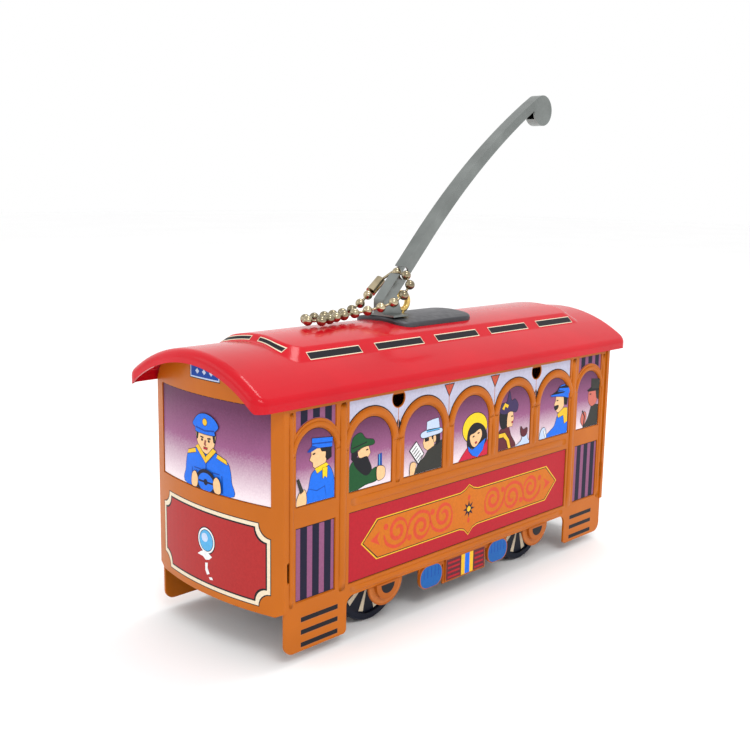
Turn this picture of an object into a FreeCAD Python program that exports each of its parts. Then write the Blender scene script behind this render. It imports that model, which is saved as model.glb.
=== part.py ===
import FreeCAD
import Part
import Sketcher

import math
import os

from FreeCAD import Placement, Rotation, Vector

# A clockwork tin tram. +Z is up, the length runs along Y with the driver's end at -Y, the winding key
# is on the -X side, and the wheels stand on the plane z = 0. Millimetres.

SIZES = [
    ("bodyHalfLength", 60.3, "middle of the tram to the end panels' corners"),
    ("bodyHalfWidth", 21.5, "centre plane to the outside of a side panel"),
    ("tin", 0.4, "thickness of plain folded tin"),
    ("panelSkin", 0.55, "thickness of an embossed panel over its raised frames"),
    ("relief", 0.25, "depth of the embossed windows and panels"),
    ("sillBottom", 10.7, "underside of the side sills"),
    ("stepBottom", 2.4, "underside of the steps"),
    ("sideTop", 56.0, "top edge of the side panels, inside the roof"),
    ("stepInner", 42.0, "middle of the tram to the inner edge of a step"),
    ("windowPitch", 17.45, "distance between the five middle windows"),
    ("windowWidth", 13.6, "width of a middle window"),
    ("windowBottom", 34.0, "bottom edge of every side window"),
    ("windowTop", 50.2, "crown of every side window's arch"),
    ("archBand", 2.0, "width of the raised band round an arch"),
    ("bayCentre", 51.2, "middle of the tram to the middle of an end bay"),
    ("bayWidth", 11.3, "width of an end bay's window"),
    ("dadoBottom", 13.4, "bottom edge of the sunk lower panels"),
    ("dadoTop", 29.7, "top edge of the sunk lower panels"),
    ("dadoHalfLength", 41.5, "half the length of the middle lower panel"),
    ("bow", 3.2, "how far an end panel bulges beyond its corners"),
    ("flange", 1.1, "how far an end panel folds round onto the side"),
    ("endBottom", 11.0, "bottom edge of the end panels"),
    ("screenHalfWidth", 18.8, "half the width of the windscreen"),
    ("screenBottom", 34.3, "bottom edge of the windscreen"),
    ("screenTop", 55.2, "top edge of the windscreen"),
    ("roofHalfLength", 67.8, "half the length of the roof"),
    ("roofHalfWidth", 22.9, "half the width of the roof"),
    ("roofRim", 55.2, "bottom edge of the roof's long rims"),
    ("roofCrown", 65.4, "top of the main arch of the roof"),
    ("roofArch", 37.5, "radius of the main arch"),
    ("roofSkin", 0.5, "thickness of the roof"),
    ("rimDepth", 2.9, "depth of the arched rim at each end"),
    ("clerestoryRise", 1.6, "height of the clerestory above the main arch"),
    ("clerestoryMiddle", 2.5, "the clerestory's middle lies this far towards the rear"),
    ("clerestoryHalfLength", 56.0, "half the length of the clerestory at its foot"),
    ("clerestoryHalfWidth", 14.4, "half the width of the clerestory at its foot"),
    ("padHalfWidth", 9.0, "half the width of the pole's base plate"),
    ("padLength", 27.0, "length of the pole's base plate"),
    ("padThickness", 1.1, "thickness of the pole's base plate"),
    ("poleWidth", 3.3, "outside width of the pole's channel"),
    ("poleSkin", 0.45, "sheet thickness of the pole"),
    ("poleDisc", 4.1, "radius of the round end of the pole"),
    ("poleHole", 1.55, "radius of the chain's hole in the pole's flanks"),
    ("eyeRing", 2.1, "radius of the eye's ring to the middle of its wire"),
    ("eyeWire", 0.75, "radius of the eye's wire"),
    ("chainBead", 1.2, "radius of a chain bead"),
    ("wheelRadius", 10.0, "radius of all four wheels"),
    ("wheelWidth", 3.0, "width of a wheel"),
    ("wheelOuter", 16.4, "centre plane to a wheel's outer face"),
    ("axleRadius", 0.9, "radius of both axles"),
    ("axleOffset", 29.0, "middle of the tram to each axle"),
    ("running", 0.05, "radial clearance of a turning shaft"),
    ("floorBottom", 13.0, "underside of the steel floor"),
    ("floorSteel", 0.5, "thickness of the steel floor"),
    ("truckPlane", 20.55, "centre plane to the inside of a truck side"),
    ("motorHalfGap", 6.7, "centre plane to the inside of a motor plate"),
    ("motorSteel", 0.6, "thickness of a motor plate"),
    ("arborRadius", 1.4, "radius of the winding arbor"),
    ("arborY", 8.0, "the winding arbor's place along the tram"),
    ("arborZ", 24.0, "the winding arbor's height"),
    ("staffRadius", 0.8, "radius of the intermediate staff"),
    ("gearModule", 0.5, "module of all the gears"),
    ("greatTeeth", 48, "teeth of the great wheel"),
    ("staffPinionTeeth", 10, "teeth of the intermediate pinion"),
    ("staffWheelTeeth", 36, "teeth of the intermediate wheel"),
    ("axlePinionTeeth", 12, "teeth of the drive pinion"),
    ("gearSheet", 0.7, "thickness of the brass wheels"),
    ("pinionLength", 1.8, "length of the pinions"),
    ("ratchetTeeth", 12, "teeth of the ratchet wheel"),
    ("ratchetRadius", 4.0, "outside radius of the ratchet wheel"),
    ("pillarRadius", 1.3, "radius of the motor's pillars"),
    ("rivetRadius", 0.8, "radius of the rivets' shanks"),
    ("studRadius", 0.6, "radius of the click's stud"),
    ("keySquare", 2.0, "side of the arbor's square"),
    ("keyHub", 2.3, "radius of the key's hub"),
    ("keyHoleRadius", 2.6, "radius of the key hole in the left side"),
]

doc = FreeCAD.newDocument("ClockworkTram")
sheet = doc.addObject("Spreadsheet::Sheet", "Sizes")
for row, (alias, number, note) in enumerate(SIZES, start=1):
    sheet.set(f"A{row}", note)
    sheet.set(f"B{row}", str(number))
    sheet.setAlias(f"B{row}", alias)
doc.recompute()


def size(alias):
    return float(sheet.get(alias))


# Places that belong to one piece only.
EYE_Y = -2.8
PAD_MIDDLE = 2.0
POLE_FOOT = (-11.1, 72.1)
POLE_SLOPE = 46.8
POLE_STRAIGHT = 19.8
POLE_BEND = 210.0
POLE_TURN = 16.5
POLE_DEPTH = 2.9
POLE_HOLE = (-3.9, 78.3)
MOTOR_BACK, MOTOR_FRONT = -8.5, 35.0
RIVET_PLACES = [(-10.0, -2.0), (-10.0, 14.0), (10.0, -2.0), (10.0, 14.0)]
PLATE_CORNERS = [
    (-8.0, 12.0), (-8.0, 34.0), (-2.0, 39.4), (14.6, 39.4), (34.0, 26.0), (34.8, 10.0),
    (31.0, 6.4), (26.0, 6.4), (20.0, 12.0),
]
PILLAR_PLACES = [(-5.6, 14.6), (-4.6, 34.6), (12.6, 37.4), (32.4, 22.7)]
CLICK_PIVOT = (8.6, 80.0)
RATCHET_LEFT, GREAT_WHEEL_LEFT = 4.4, 5.3
TOOTH_RISE, TOOTH_FALL = 0.8, 1.1
SPACE_ROOT, SPACE_PITCH, SPACE_TIP = 0.42, 0.62, 0.84

PLANES = {"XY": "XY_Plane", "XZ": "XZ_Plane", "YZ": "YZ_Plane"}
pieces = []


# ---------------------------------------------------------------- helpers

def keep(piece, label):
    """Name a finished sub-part and put it on the list of files to write."""
    piece.Label = label
    pieces.append(piece)
    return piece


def new_body(label):
    return keep(doc.addObject("PartDesign::Body", label), label)


def new_sketch(body, plane, name, offset=0.0):
    """A sketch on one of the body's own origin planes, moved along the plane's normal."""
    sketch = body.newObject("Sketcher::SketchObject", f"{body.Name}_{name}")
    role = PLANES[plane]
    support = next(f for f in body.Origin.OriginFeatures if f.Role == role)
    sketch.AttachmentSupport = [(support, "")]
    sketch.MapMode = "FlatFace"
    sketch.AttachmentOffset = Placement(Vector(0, 0, offset), Rotation())
    return sketch


def draw(sketch, start, *steps):
    """A closed outline: each step is an end point, or (point on the arc, end point)."""
    here = Vector(*start, 0)
    for step in list(steps) + [start]:
        if isinstance(step[0], tuple):
            through, end = (Vector(*point, 0) for point in step)
            sketch.addGeometry(Part.Arc(here, through, end), False)
        else:
            end = Vector(*step, 0)
            if end.distanceToPoint(here) > 1e-7:
                sketch.addGeometry(Part.LineSegment(here, end), False)
        here = end


def draw_box(sketch, left, bottom, right, top):
    draw(sketch, (left, bottom), (right, bottom), (right, top), (left, top))


def draw_round_box(sketch, left, bottom, right, top, corner):
    """A rectangle with rounded corners."""
    slack = corner * (1 - math.sqrt(0.5))
    draw(
        sketch,
        (left + corner, bottom), (right - corner, bottom),
        ((right - slack, bottom + slack), (right, bottom + corner)), (right, top - corner),
        ((right - slack, top - slack), (right - corner, top)), (left + corner, top),
        ((left + slack, top - slack), (left, top - corner)), (left, bottom + corner),
        ((left + slack, bottom + slack), (left + corner, bottom)),
    )


def draw_circle(sketch, centre, radius_expression):
    """A circle whose radius is bound to the sheet."""
    radius = sketch.evalExpression(radius_expression)
    circle = Part.Circle(Vector(*centre, 0), Vector(0, 0, 1), float(radius))
    index = sketch.addGeometry(circle, False)
    rule = sketch.addConstraint(Sketcher.Constraint("Radius", index, float(radius)))
    sketch.setExpression(f"Constraints[{rule}]", radius_expression)


def pad(body, sketch, length_expression, reverse=False, midplane=False):
    feature = body.newObject("PartDesign::Pad", f"{sketch.Name}_pad")
    feature.Profile = sketch
    feature.setExpression("Length", length_expression)
    feature.Reversed = reverse
    feature.Midplane = midplane
    doc.recompute()
    return feature


def pocket(body, sketch, length_expression, reverse=False, midplane=False):
    """Cut the sketch into the body, and make sure that it did cut."""
    before = body.Shape.Volume
    feature = body.newObject("PartDesign::Pocket", f"{sketch.Name}_pocket")
    feature.Profile = sketch
    feature.setExpression("Length", length_expression)
    feature.Reversed = reverse
    feature.Midplane = midplane
    doc.recompute()
    assert body.Shape.Volume < before - 1e-4, f"{feature.Name} cuts nothing"
    return feature


def revolve(body, sketch, axis="X_Axis"):
    feature = body.newObject("PartDesign::Revolution", f"{sketch.Name}_turn")
    feature.Profile = sketch
    turn_axis = next(f for f in body.Origin.OriginFeatures if f.Role == axis)
    feature.ReferenceAxis = (turn_axis, [""])
    feature.Angle = 360
    doc.recompute()
    return feature


def round_edges(body, radius, wanted):
    """Fillet every edge of the body's last feature for which wanted(edge) holds."""
    base = body.Tip
    names = [f"Edge{i}" for i, edge in enumerate(base.Shape.Edges, start=1) if wanted(edge)]
    assert names, f"{body.Name} has no such edge"
    feature = body.newObject("PartDesign::Fillet", f"{body.Name}_round{len(body.Group)}")
    feature.Base = (base, names)
    feature.Radius = radius
    doc.recompute()
    return feature


def repeat_round_x(body, cut, count):
    """Repeat a cut evenly round the body's X axis."""
    pattern = body.newObject("PartDesign::PolarPattern", f"{cut.Name}_ring")
    pattern.Originals = [cut]
    axis = next(f for f in body.Origin.OriginFeatures if f.Role == "X_Axis")
    pattern.Axis = (axis, [""])
    pattern.Angle = 360
    pattern.Occurrences = count
    body.Tip = pattern
    doc.recompute()
    return pattern


def cylinder_x(name, radius_expression, left, right, y=0.0, z=0.0):
    """A round bar along X from x = left to x = right."""
    bar = doc.addObject("Part::Cylinder", name)
    bar.setExpression("Radius", radius_expression)
    bar.Height = right - left
    bar.Placement = Placement(Vector(left, y, z), Rotation(Vector(0, 1, 0), 90))
    return bar


def fuse(name, solids):
    joined = doc.addObject("Part::MultiFuse", name)
    joined.Shapes = solids
    return joined


def cut(name, base, tool):
    left = doc.addObject("Part::Cut", name)
    left.Base = base
    left.Tool = tool
    return left


# ---------------------------------------------------------------- tin body

half_width = size("bodyHalfWidth")
half_length = size("bodyHalfLength")
skin = size("panelSkin")
window_radius = size("windowWidth") / 2
window_spring = size("windowTop") - window_radius
bay_radius = size("bayWidth") / 2
bay_spring = size("windowTop") - bay_radius
spandrel_top = size("sideTop") - 1.7
seam = half_length - size("flange")


def draw_arched_window(sketch, centre, radius, spring):
    bottom = size("windowBottom")
    draw(
        sketch,
        (centre - radius, bottom), (centre + radius, bottom), (centre + radius, spring),
        ((centre, spring + radius), (centre - radius, spring)),
    )


def draw_middle_spandrels(sketch):
    """The sunk strip over the five middle arches, pointed down between each two of them."""
    pitch = size("windowPitch")
    outer = window_radius + size("archBand")
    cusp = window_spring + math.sqrt(outer**2 - (pitch / 2) ** 2)
    end = 2 * pitch + window_radius
    foot = window_spring + math.sqrt(outer**2 - window_radius**2)
    steps = [(end, spandrel_top), (end, foot)]
    for number in (2, 1, 0, -1, -2):
        crown = (number * pitch, window_spring + outer)
        last = number == -2
        steps.append((crown, (-end, foot) if last else ((number - 0.5) * pitch, cusp)))
    draw(sketch, (-end, spandrel_top), *steps)


def draw_bay_spandrel(sketch, centre):
    """The sunk field over the arch of an end bay."""
    outer = bay_radius + size("archBand") - 0.15
    foot = bay_spring + math.sqrt(outer**2 - bay_radius**2)
    draw(
        sketch,
        (centre - bay_radius, spandrel_top), (centre + bay_radius, spandrel_top),
        (centre + bay_radius, foot), ((centre, bay_spring + outer), (centre - bay_radius, foot)),
    )


def draw_side_outline(sketch):
    """Side panel with a step hanging from each end."""
    end = seam + 0.7
    bottom = size("stepBottom")
    top = size("sideTop")
    sill = size("sillBottom")
    inner = size("stepInner")
    toe = 2.4
    fillet = 2.2
    slack = 1 - math.sqrt(0.5)
    draw(
        sketch,
        (-end, top), (-end, bottom + toe),
        ((-end + toe * slack, bottom + toe * slack), (-end + toe, bottom)), (-inner - 1, bottom),
        ((-inner - slack, bottom + slack), (-inner, bottom + 1)), (-inner, sill - fillet),
        ((-inner + fillet * slack, sill - fillet * slack), (-inner + fillet, sill)),
        (inner - fillet, sill), ((inner - fillet * slack, sill - fillet * slack), (inner, sill - fillet)),
        (inner, bottom + 1), ((inner + slack, bottom + slack), (inner + 1, bottom)),
        (end - toe, bottom), ((end - toe * slack, bottom + toe * slack), (end, bottom + toe)),
        (end, top),
    )


def make_side_panel(label, side, key_hole):
    """side is +1 for +X and -1 for -X."""
    body = new_body(label)
    outline = new_sketch(body, "YZ", "outline", side * (half_width - skin))
    draw_side_outline(outline)
    pad(body, outline, "Sizes.panelSkin", reverse=side < 0)

    windows = new_sketch(body, "YZ", "windows", side * half_width)
    for number in range(-2, 3):
        draw_arched_window(windows, number * size("windowPitch"), window_radius, window_spring)
    for centre in (-size("bayCentre"), size("bayCentre")):
        draw_arched_window(windows, centre, bay_radius, bay_spring)
    pocket(body, windows, "Sizes.relief", reverse=side < 0)

    fields = new_sketch(body, "YZ", "fields", side * half_width)
    draw_middle_spandrels(fields)
    dado = size("dadoHalfLength")
    draw_box(fields, -dado, size("dadoBottom"), dado, size("dadoTop"))
    for centre in (-size("bayCentre"), size("bayCentre")):
        draw_bay_spandrel(fields, centre)
        low, high = size("dadoBottom"), size("dadoTop")
        draw_box(fields, centre - bay_radius, low, centre + bay_radius, high)
    pocket(body, fields, "Sizes.relief", reverse=side < 0)

    slots = new_sketch(body, "YZ", "slots", side * half_width)
    for centre in (-1.5 * size("windowPitch"), 1.5 * size("windowPitch")):
        flat, depth, reach = 53.9, 3.0, 1.75
        draw(slots, (centre - reach, flat), ((centre, flat - depth), (centre + reach, flat)))
    for end in (-1, 1):
        low, high = sorted((end * seam, end * (seam - 0.8)))
        draw_box(slots, low, 18.4, high, 22.8)
    if key_hole:
        draw_circle(slots, (size("arborY"), size("arborZ")), "Sizes.keyHoleRadius")
    pocket(body, slots, "Sizes.panelSkin * 4", midplane=True)
    return body


make_side_panel("side_panel_right", 1, key_hole=False)
make_side_panel("side_panel_left", -1, key_hole=True)

flange_outer = half_width + size("tin")
bow = size("bow")
bow_radius = (flange_outer**2 + bow**2) / (2 * bow)
bow_centre = half_length + bow - bow_radius


def bowed(x, depth=0.0):
    """How far out the end panel's surface is at x, at a depth below its outer face."""
    return bow_centre + math.sqrt((bow_radius - depth) ** 2 - x**2)


def roof_height(x, drop=0.0):
    """Height of the roof's main arch, at a distance below its outside."""
    radius = size("roofArch") - drop
    return size("roofCrown") - size("roofArch") + math.sqrt(radius**2 - x**2)


def make_end_panel(label, end):
    """end is -1 for the driver's end at -Y and +1 for the rear."""
    body = new_body(label)
    bottom = size("endBottom")
    plan = new_sketch(body, "XY", "plan", bottom)
    corner = end * (half_length - size("tin"))
    draw(
        plan,
        (-flange_outer, end * seam), (-flange_outer, end * half_length),
        ((0, end * bowed(0)), (flange_outer, end * half_length)), (flange_outer, end * seam),
        (half_width, end * seam), (half_width, corner),
        ((0, end * bowed(0, skin)), (-half_width, corner)),
        (-half_width, end * seam),
    )
    pad(body, plan, "Sizes.roofCrown - Sizes.endBottom")

    screen = new_sketch(body, "XY", "screen", size("screenBottom"))
    reach = size("screenHalfWidth")
    relief = size("relief")
    draw(
        screen,
        (-reach, end * bowed(reach, relief)), (-reach, end * (half_length + 2 * bow)),
        (reach, end * (half_length + 2 * bow)), (reach, end * bowed(reach, relief)),
        ((0, end * bowed(0, relief)), (-reach, end * bowed(reach, relief))),
    )
    pocket(body, screen, "Sizes.screenTop - Sizes.screenBottom", reverse=True)

    trim = new_sketch(body, "XZ", "trim", 0.0)
    far = flange_outer + 4
    shoulder = half_width - 1.6
    shoulder_top = roof_height(shoulder, 0.9)
    draw_box(trim, -far, bottom - 4, far, size("roofCrown") + 4)
    draw(
        trim,
        (-flange_outer - 1, bottom + 1.6), (-flange_outer + 2.2, bottom), (flange_outer - 2.2, bottom),
        (flange_outer + 1, bottom + 1.6), (flange_outer + 1, size("roofRim") + 0.6),
        (flange_outer, size("roofRim") + 0.6), (shoulder, shoulder_top),
        ((0, roof_height(0, 0.9)), (-shoulder, shoulder_top)),
        (-flange_outer, size("roofRim") + 0.6), (-flange_outer - 1, size("roofRim") + 0.6),
    )
    pocket(body, trim, "Sizes.bodyHalfLength * 3", midplane=True)

    notch = new_sketch(body, "YZ", "notch", 0.0)
    low, high = sorted((end * seam, end * (seam + 0.3)))
    draw_box(notch, low, 18.4, high, 22.8)
    pocket(body, notch, "Sizes.bodyHalfWidth * 3", midplane=True)
    return body


make_end_panel("front_panel", -1)
make_end_panel("rear_panel", 1)


# ---------------------------------------------------------------- roof

roof_centre = size("roofCrown") - size("roofArch")
clerestory_radius = size("roofArch") + size("clerestoryRise")


def arch_point(radius, x):
    return (x, roof_centre + math.sqrt(radius**2 - x**2))


def make_roof_block(name, inset):
    """The pressed shape of the roof as a solid, its whole surface moved inwards by inset."""
    body = doc.addObject("PartDesign::Body", name)
    reach = size("roofHalfWidth") - inset
    arch = size("roofArch") - inset
    rim = size("roofRim") - 2 * inset
    section = new_sketch(body, "XZ", "section")
    draw(
        section,
        (-reach, rim), (reach, rim), arch_point(arch, reach),
        (arch_point(arch, 0), arch_point(arch, -reach)),
    )
    pad(body, section, f"Sizes.roofHalfLength * 2 - {2 * inset}", midplane=True)

    def upright_corner(edge):
        points = [vertex.Point for vertex in edge.Vertexes]
        return abs(points[0].z - points[1].z) > edge.Length - 1e-6

    def shoulder(edge):
        return edge.BoundBox.ZMin > size("roofRim") + 1

    round_edges(body, 3.0 - inset, upright_corner)
    round_edges(body, 1.9 - inset, shoulder)

    middle = size("clerestoryMiddle")
    levels = []
    for level_name, level in (("foot", 58.5), ("head", 69.5)):
        slope = (level - 62.6) * 1.05 + 1.4 * inset
        half_x = size("clerestoryHalfWidth") - slope
        half_y = size("clerestoryHalfLength") - slope
        outline = new_sketch(body, "XY", level_name, level)
        draw_round_box(outline, -half_x, middle - half_y, half_x, middle + half_y, 5.0)
        levels.append(outline)
    loft = body.newObject("PartDesign::AdditiveLoft", f"{name}_clerestory")
    loft.Profile = levels[0]
    loft.Sections = [levels[1]]
    doc.recompute()

    top = new_sketch(body, "XZ", "top")
    wide = reach + 3
    crown = clerestory_radius - inset
    draw(
        top,
        (-wide, arch_point(crown, wide)[1]), (arch_point(crown, 0), arch_point(crown, wide)),
        (wide, 75.0), (-wide, 75.0),
    )
    pocket(body, top, "Sizes.roofHalfLength * 3", midplane=True)

    def clerestory_edge(edge):
        box = edge.BoundBox
        inside_x = max(abs(box.XMin), abs(box.XMax)) < size("clerestoryHalfWidth") + 2
        inside_y = max(abs(box.YMin), abs(box.YMax)) < size("clerestoryHalfLength") + 6
        return inside_x and inside_y and box.ZMin > 60.5

    round_edges(body, 1.0, clerestory_edge)
    return body


def make_roof():
    outside = make_roof_block("roof_outside", 0.0)
    arches = new_sketch(outside, "XZ", "arches")
    drop = size("rimDepth")
    foot = 21.2
    draw(
        arches,
        (-foot, size("roofRim") - 1), (foot, size("roofRim") - 1), (foot, roof_height(foot, drop)),
        ((0, roof_height(0, drop)), (-foot, roof_height(foot, drop))),
    )
    pocket(outside, arches, "Sizes.roofHalfLength * 3", midplane=True)
    inside = make_roof_block("roof_inside", size("roofSkin"))
    shell = cut("roof_pressing", outside, inside)
    eye_hole = doc.addObject("Part::Cylinder", "roof_eye_hole")
    eye_hole.setExpression("Radius", "Sizes.eyeWire + Sizes.running")
    eye_hole.Height = 10
    eye_hole.Placement = Placement(Vector(0, EYE_Y, 60), Rotation())
    return keep(cut("roof_shell", shell, eye_hole), "roof_shell")


make_roof()


# ---------------------------------------------------------------- pole, pad, eye and chain

pad_top = roof_centre + clerestory_radius + size("padThickness")


def make_pole_pad():
    body = new_body("pole_base_plate")
    low = clerestory_radius + 0.02
    high = clerestory_radius + size("padThickness")
    reach = size("padHalfWidth")
    section = new_sketch(body, "XZ", "section", -PAD_MIDDLE)
    draw(
        section,
        arch_point(low, -reach), (arch_point(low, 0), arch_point(low, reach)),
        arch_point(high, reach), (arch_point(high, 0), arch_point(high, -reach)),
    )
    pad(body, section, "Sizes.padLength", midplane=True)
    round_edges(body, 3.5, lambda edge: edge.Length < 1.3)
    top_height = roof_centre + math.sqrt(high**2 - reach**2) - 0.01
    round_edges(body, 0.6, lambda edge: edge.BoundBox.ZMin > top_height)
    hole = new_sketch(body, "XY", "hole", 60)
    draw_circle(hole, (0, EYE_Y), "Sizes.eyeWire + Sizes.running")
    pocket(body, hole, "Sizes.clerestoryRise * 10", reverse=True)
    return body


make_pole_pad()


def make_pole():
    """A channel pressed from sheet, open below: web on top, two flanks, a round end, two feet."""
    body = new_body("trolley_pole")
    slope = math.radians(POLE_SLOPE)
    along = Vector(math.cos(slope), math.sin(slope), 0)
    outwards = Vector(-math.sin(slope), math.cos(slope), 0)
    bend_start = Vector(*POLE_FOOT, 0) + along * POLE_STRAIGHT
    bend_centre = bend_start - outwards * POLE_BEND

    def on_bend(angle, depth):
        """A point of the bent stretch, angle degrees along it and at a depth below the web."""
        turned = math.radians(90 + POLE_SLOPE - angle)
        point = bend_centre + Vector(math.cos(turned), math.sin(turned), 0) * (POLE_BEND - depth)
        return (point.x, point.y)

    def draw_flank(sketch, web, low, low_tip):
        foot = Vector(*POLE_FOOT, 0) - outwards * web
        web_end = bend_start - outwards * web
        low_start = Vector(*POLE_FOOT, 0) + along * 4 - outwards * low
        low_end = bend_start - outwards * low
        base = pad_top + 0.02
        draw(
            sketch,
            (foot.x, foot.y), (web_end.x, web_end.y),
            (on_bend(POLE_TURN / 2, web), on_bend(POLE_TURN, web)), on_bend(POLE_TURN, low_tip),
            (on_bend(POLE_TURN / 2, (low + low_tip) / 2), (low_end.x, low_end.y)),
            (low_start.x, low_start.y), (low_start.x + 2.0, base), (foot.x, base),
        )

    flank = new_sketch(body, "YZ", "flank")
    draw_flank(flank, 0.0, POLE_DEPTH, POLE_DEPTH - 0.6)
    pad(body, flank, "Sizes.poleWidth", midplane=True)
    tip = on_bend(POLE_TURN, size("poleDisc"))
    end = new_sketch(body, "YZ", "end")
    draw_circle(end, tip, "Sizes.poleDisc")
    pad(body, end, "Sizes.poleWidth", midplane=True)
    channel = new_sketch(body, "YZ", "channel")
    draw_flank(channel, size("poleSkin"), POLE_DEPTH + 3, POLE_DEPTH + 1.5)
    pocket(body, channel, "Sizes.poleWidth - 2 * Sizes.poleSkin", midplane=True)
    hollow = new_sketch(body, "YZ", "hollow")
    draw_circle(hollow, tip, "Sizes.poleDisc - Sizes.poleSkin")
    pocket(body, hollow, "Sizes.poleWidth - 2 * Sizes.poleSkin", midplane=True)

    feet = new_sketch(body, "XY", "feet", pad_top + 0.02)
    inner = size("poleWidth") / 2 - size("poleSkin")
    for side in (-1, 1):
        left, right = sorted((side * inner, side * 5.2))
        draw_box(feet, left, POLE_FOOT[0], right, POLE_FOOT[0] + 5.0)
    pad(body, feet, "Sizes.poleSkin")
    hole = new_sketch(body, "YZ", "hole")
    draw_circle(hole, POLE_HOLE, "Sizes.poleHole")
    pocket(body, hole, "Sizes.poleWidth * 2", midplane=True)
    return body


make_pole()


def make_eye():
    """A ring standing on the pad, its shank through pad and roof, its two legs spread below."""
    ring = doc.addObject("Part::Torus", "eye_ring")
    ring.setExpression("Radius1", "Sizes.eyeRing")
    ring.setExpression("Radius2", "Sizes.eyeWire")
    ring_height = pad_top + 0.1 + size("eyeRing") + size("eyeWire")
    ring.Placement = Placement(Vector(0, EYE_Y, ring_height), Rotation(Vector(0, 1, 0), -90))
    pieces_of_eye = [ring]
    shank_foot = roof_centre + clerestory_radius - 2.2
    shank = doc.addObject("Part::Cylinder", "eye_shank")
    shank.setExpression("Radius", "Sizes.eyeWire")
    shank.Height = ring_height - size("eyeRing") - shank_foot
    shank.Placement = Placement(Vector(0, EYE_Y, shank_foot), Rotation())
    pieces_of_eye.append(shank)
    for side in (-1, 1):
        leg = doc.addObject("Part::Cylinder", f"eye_leg_{side + 2}")
        leg.setExpression("Radius", "Sizes.eyeWire * 0.8")
        leg.Height = 5.5
        leg_turn = Rotation(Vector(1, 0, 0), side * 105)
        leg.Placement = Placement(Vector(0, EYE_Y, shank_foot + 0.2), leg_turn)
        pieces_of_eye.append(leg)
    return keep(fuse("hanger_eye", pieces_of_eye), "hanger_eye")


make_eye()

# The chain passes through both flanks' holes, drops beside the pole's foot, lies forward along the
# clerestory, turns back and climbs to the connector beside the far flank: its points, by hand.
CHAIN_ROUTE = [
    (-2.0, -3.9, 78.3), (2.6, -4.0, 78.3), (4.9, -4.7, 76.0), (5.1, -7.3, 73.2),
    (4.2, -11.0, 71.3), (2.2, -14.0, 70.2), (0.2, -17.2, 69.5), (-0.7, -20.8, 69.0),
    (-0.2, -24.5, 68.9), (1.2, -28.2, 68.8), (2.6, -32.0, 68.7), (0.6, -34.4, 68.7),
    (-2.5, -33.8, 68.7), (-3.5, -30.4, 68.7), (-3.4, -26.6, 68.8), (-4.2, -22.8, 68.8),
    (-4.4, -19.0, 68.9), (-4.6, -15.2, 69.5), (-4.8, -11.8, 71.2), (-4.9, -8.9, 73.4),
]


def tangent_path(points):
    """Straight runs joined by arcs, each as large as its two runs allow, and the arcs' radii."""
    corners = [Vector(*point) for point in points]
    edges = []
    radii = []
    here = corners[0]
    for before, corner, after in zip(corners, corners[1:], corners[2:]):
        run_in = corner - before
        run_out = after - corner
        turn = run_in.getAngle(run_out)
        reach = 0.45 * min(run_in.Length, run_out.Length)
        start = corner - run_in.normalize() * reach
        end = corner + run_out.normalize() * reach
        radius = reach / math.tan(turn / 2)
        middle_line = (start + end) * 0.5 - corner
        to_centre = math.hypot(radius, reach)
        through = corner + middle_line.normalize() * (to_centre - radius)
        edges += [Part.LineSegment(here, start).toShape(), Part.Arc(start, through, end).toShape()]
        radii.append(radius)
        here = end
    edges.append(Part.LineSegment(here, corners[-1]).toShape())
    return Part.Wire(edges), radii


def make_chain():
    path, radii = tangent_path(CHAIN_ROUTE)
    print("chain length", round(path.Length, 1), "radii", [round(radius, 1) for radius in radii])
    first, second = Vector(*CHAIN_ROUTE[0]), Vector(*CHAIN_ROUTE[1])
    ring = Part.Wire(Part.makeCircle(size("chainBead"), first, second - first))
    tube = path.makePipeShell([ring], True, False)
    expected = math.pi * size("chainBead") ** 2 * path.Length
    assert abs(tube.Volume - expected) < 0.03 * expected, (tube.Volume, expected)
    feature = doc.addObject("Part::Feature", "ball_chain")
    feature.Shape = tube
    return keep(feature, "ball_chain")


make_chain()


def rod(name, radius, start, end):
    """A round bar between two points."""
    bar = doc.addObject("Part::Cylinder", name)
    bar.Radius = radius
    bar.Height = (end - start).Length
    bar.Placement = Placement(start, Rotation(Vector(0, 0, 1), end - start))
    return bar


def make_connector():
    """A barrel that grips the chain's last bead, and the link from it to the chain's first."""
    chain_start, chain_end = Vector(*CHAIN_ROUTE[0]), Vector(*CHAIN_ROUTE[-1])
    last_run = (chain_end - Vector(*CHAIN_ROUTE[-2])).normalize()
    low = chain_end + last_run * 0.02
    high = low + last_run * 4.6
    barrel = rod("connector_barrel", size("chainBead") + 0.1, low, high)
    link = rod("connector_link", 0.35, high - last_run * 0.5, chain_start - Vector(0.2, 0, 0))
    return keep(fuse("chain_connector", [barrel, link]), "chain_connector")


make_connector()


# ---------------------------------------------------------------- chassis, truck sides and wheels

floor_bottom = size("floorBottom")
axle_y = size("axleOffset")
wheel_radius = size("wheelRadius")


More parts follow.
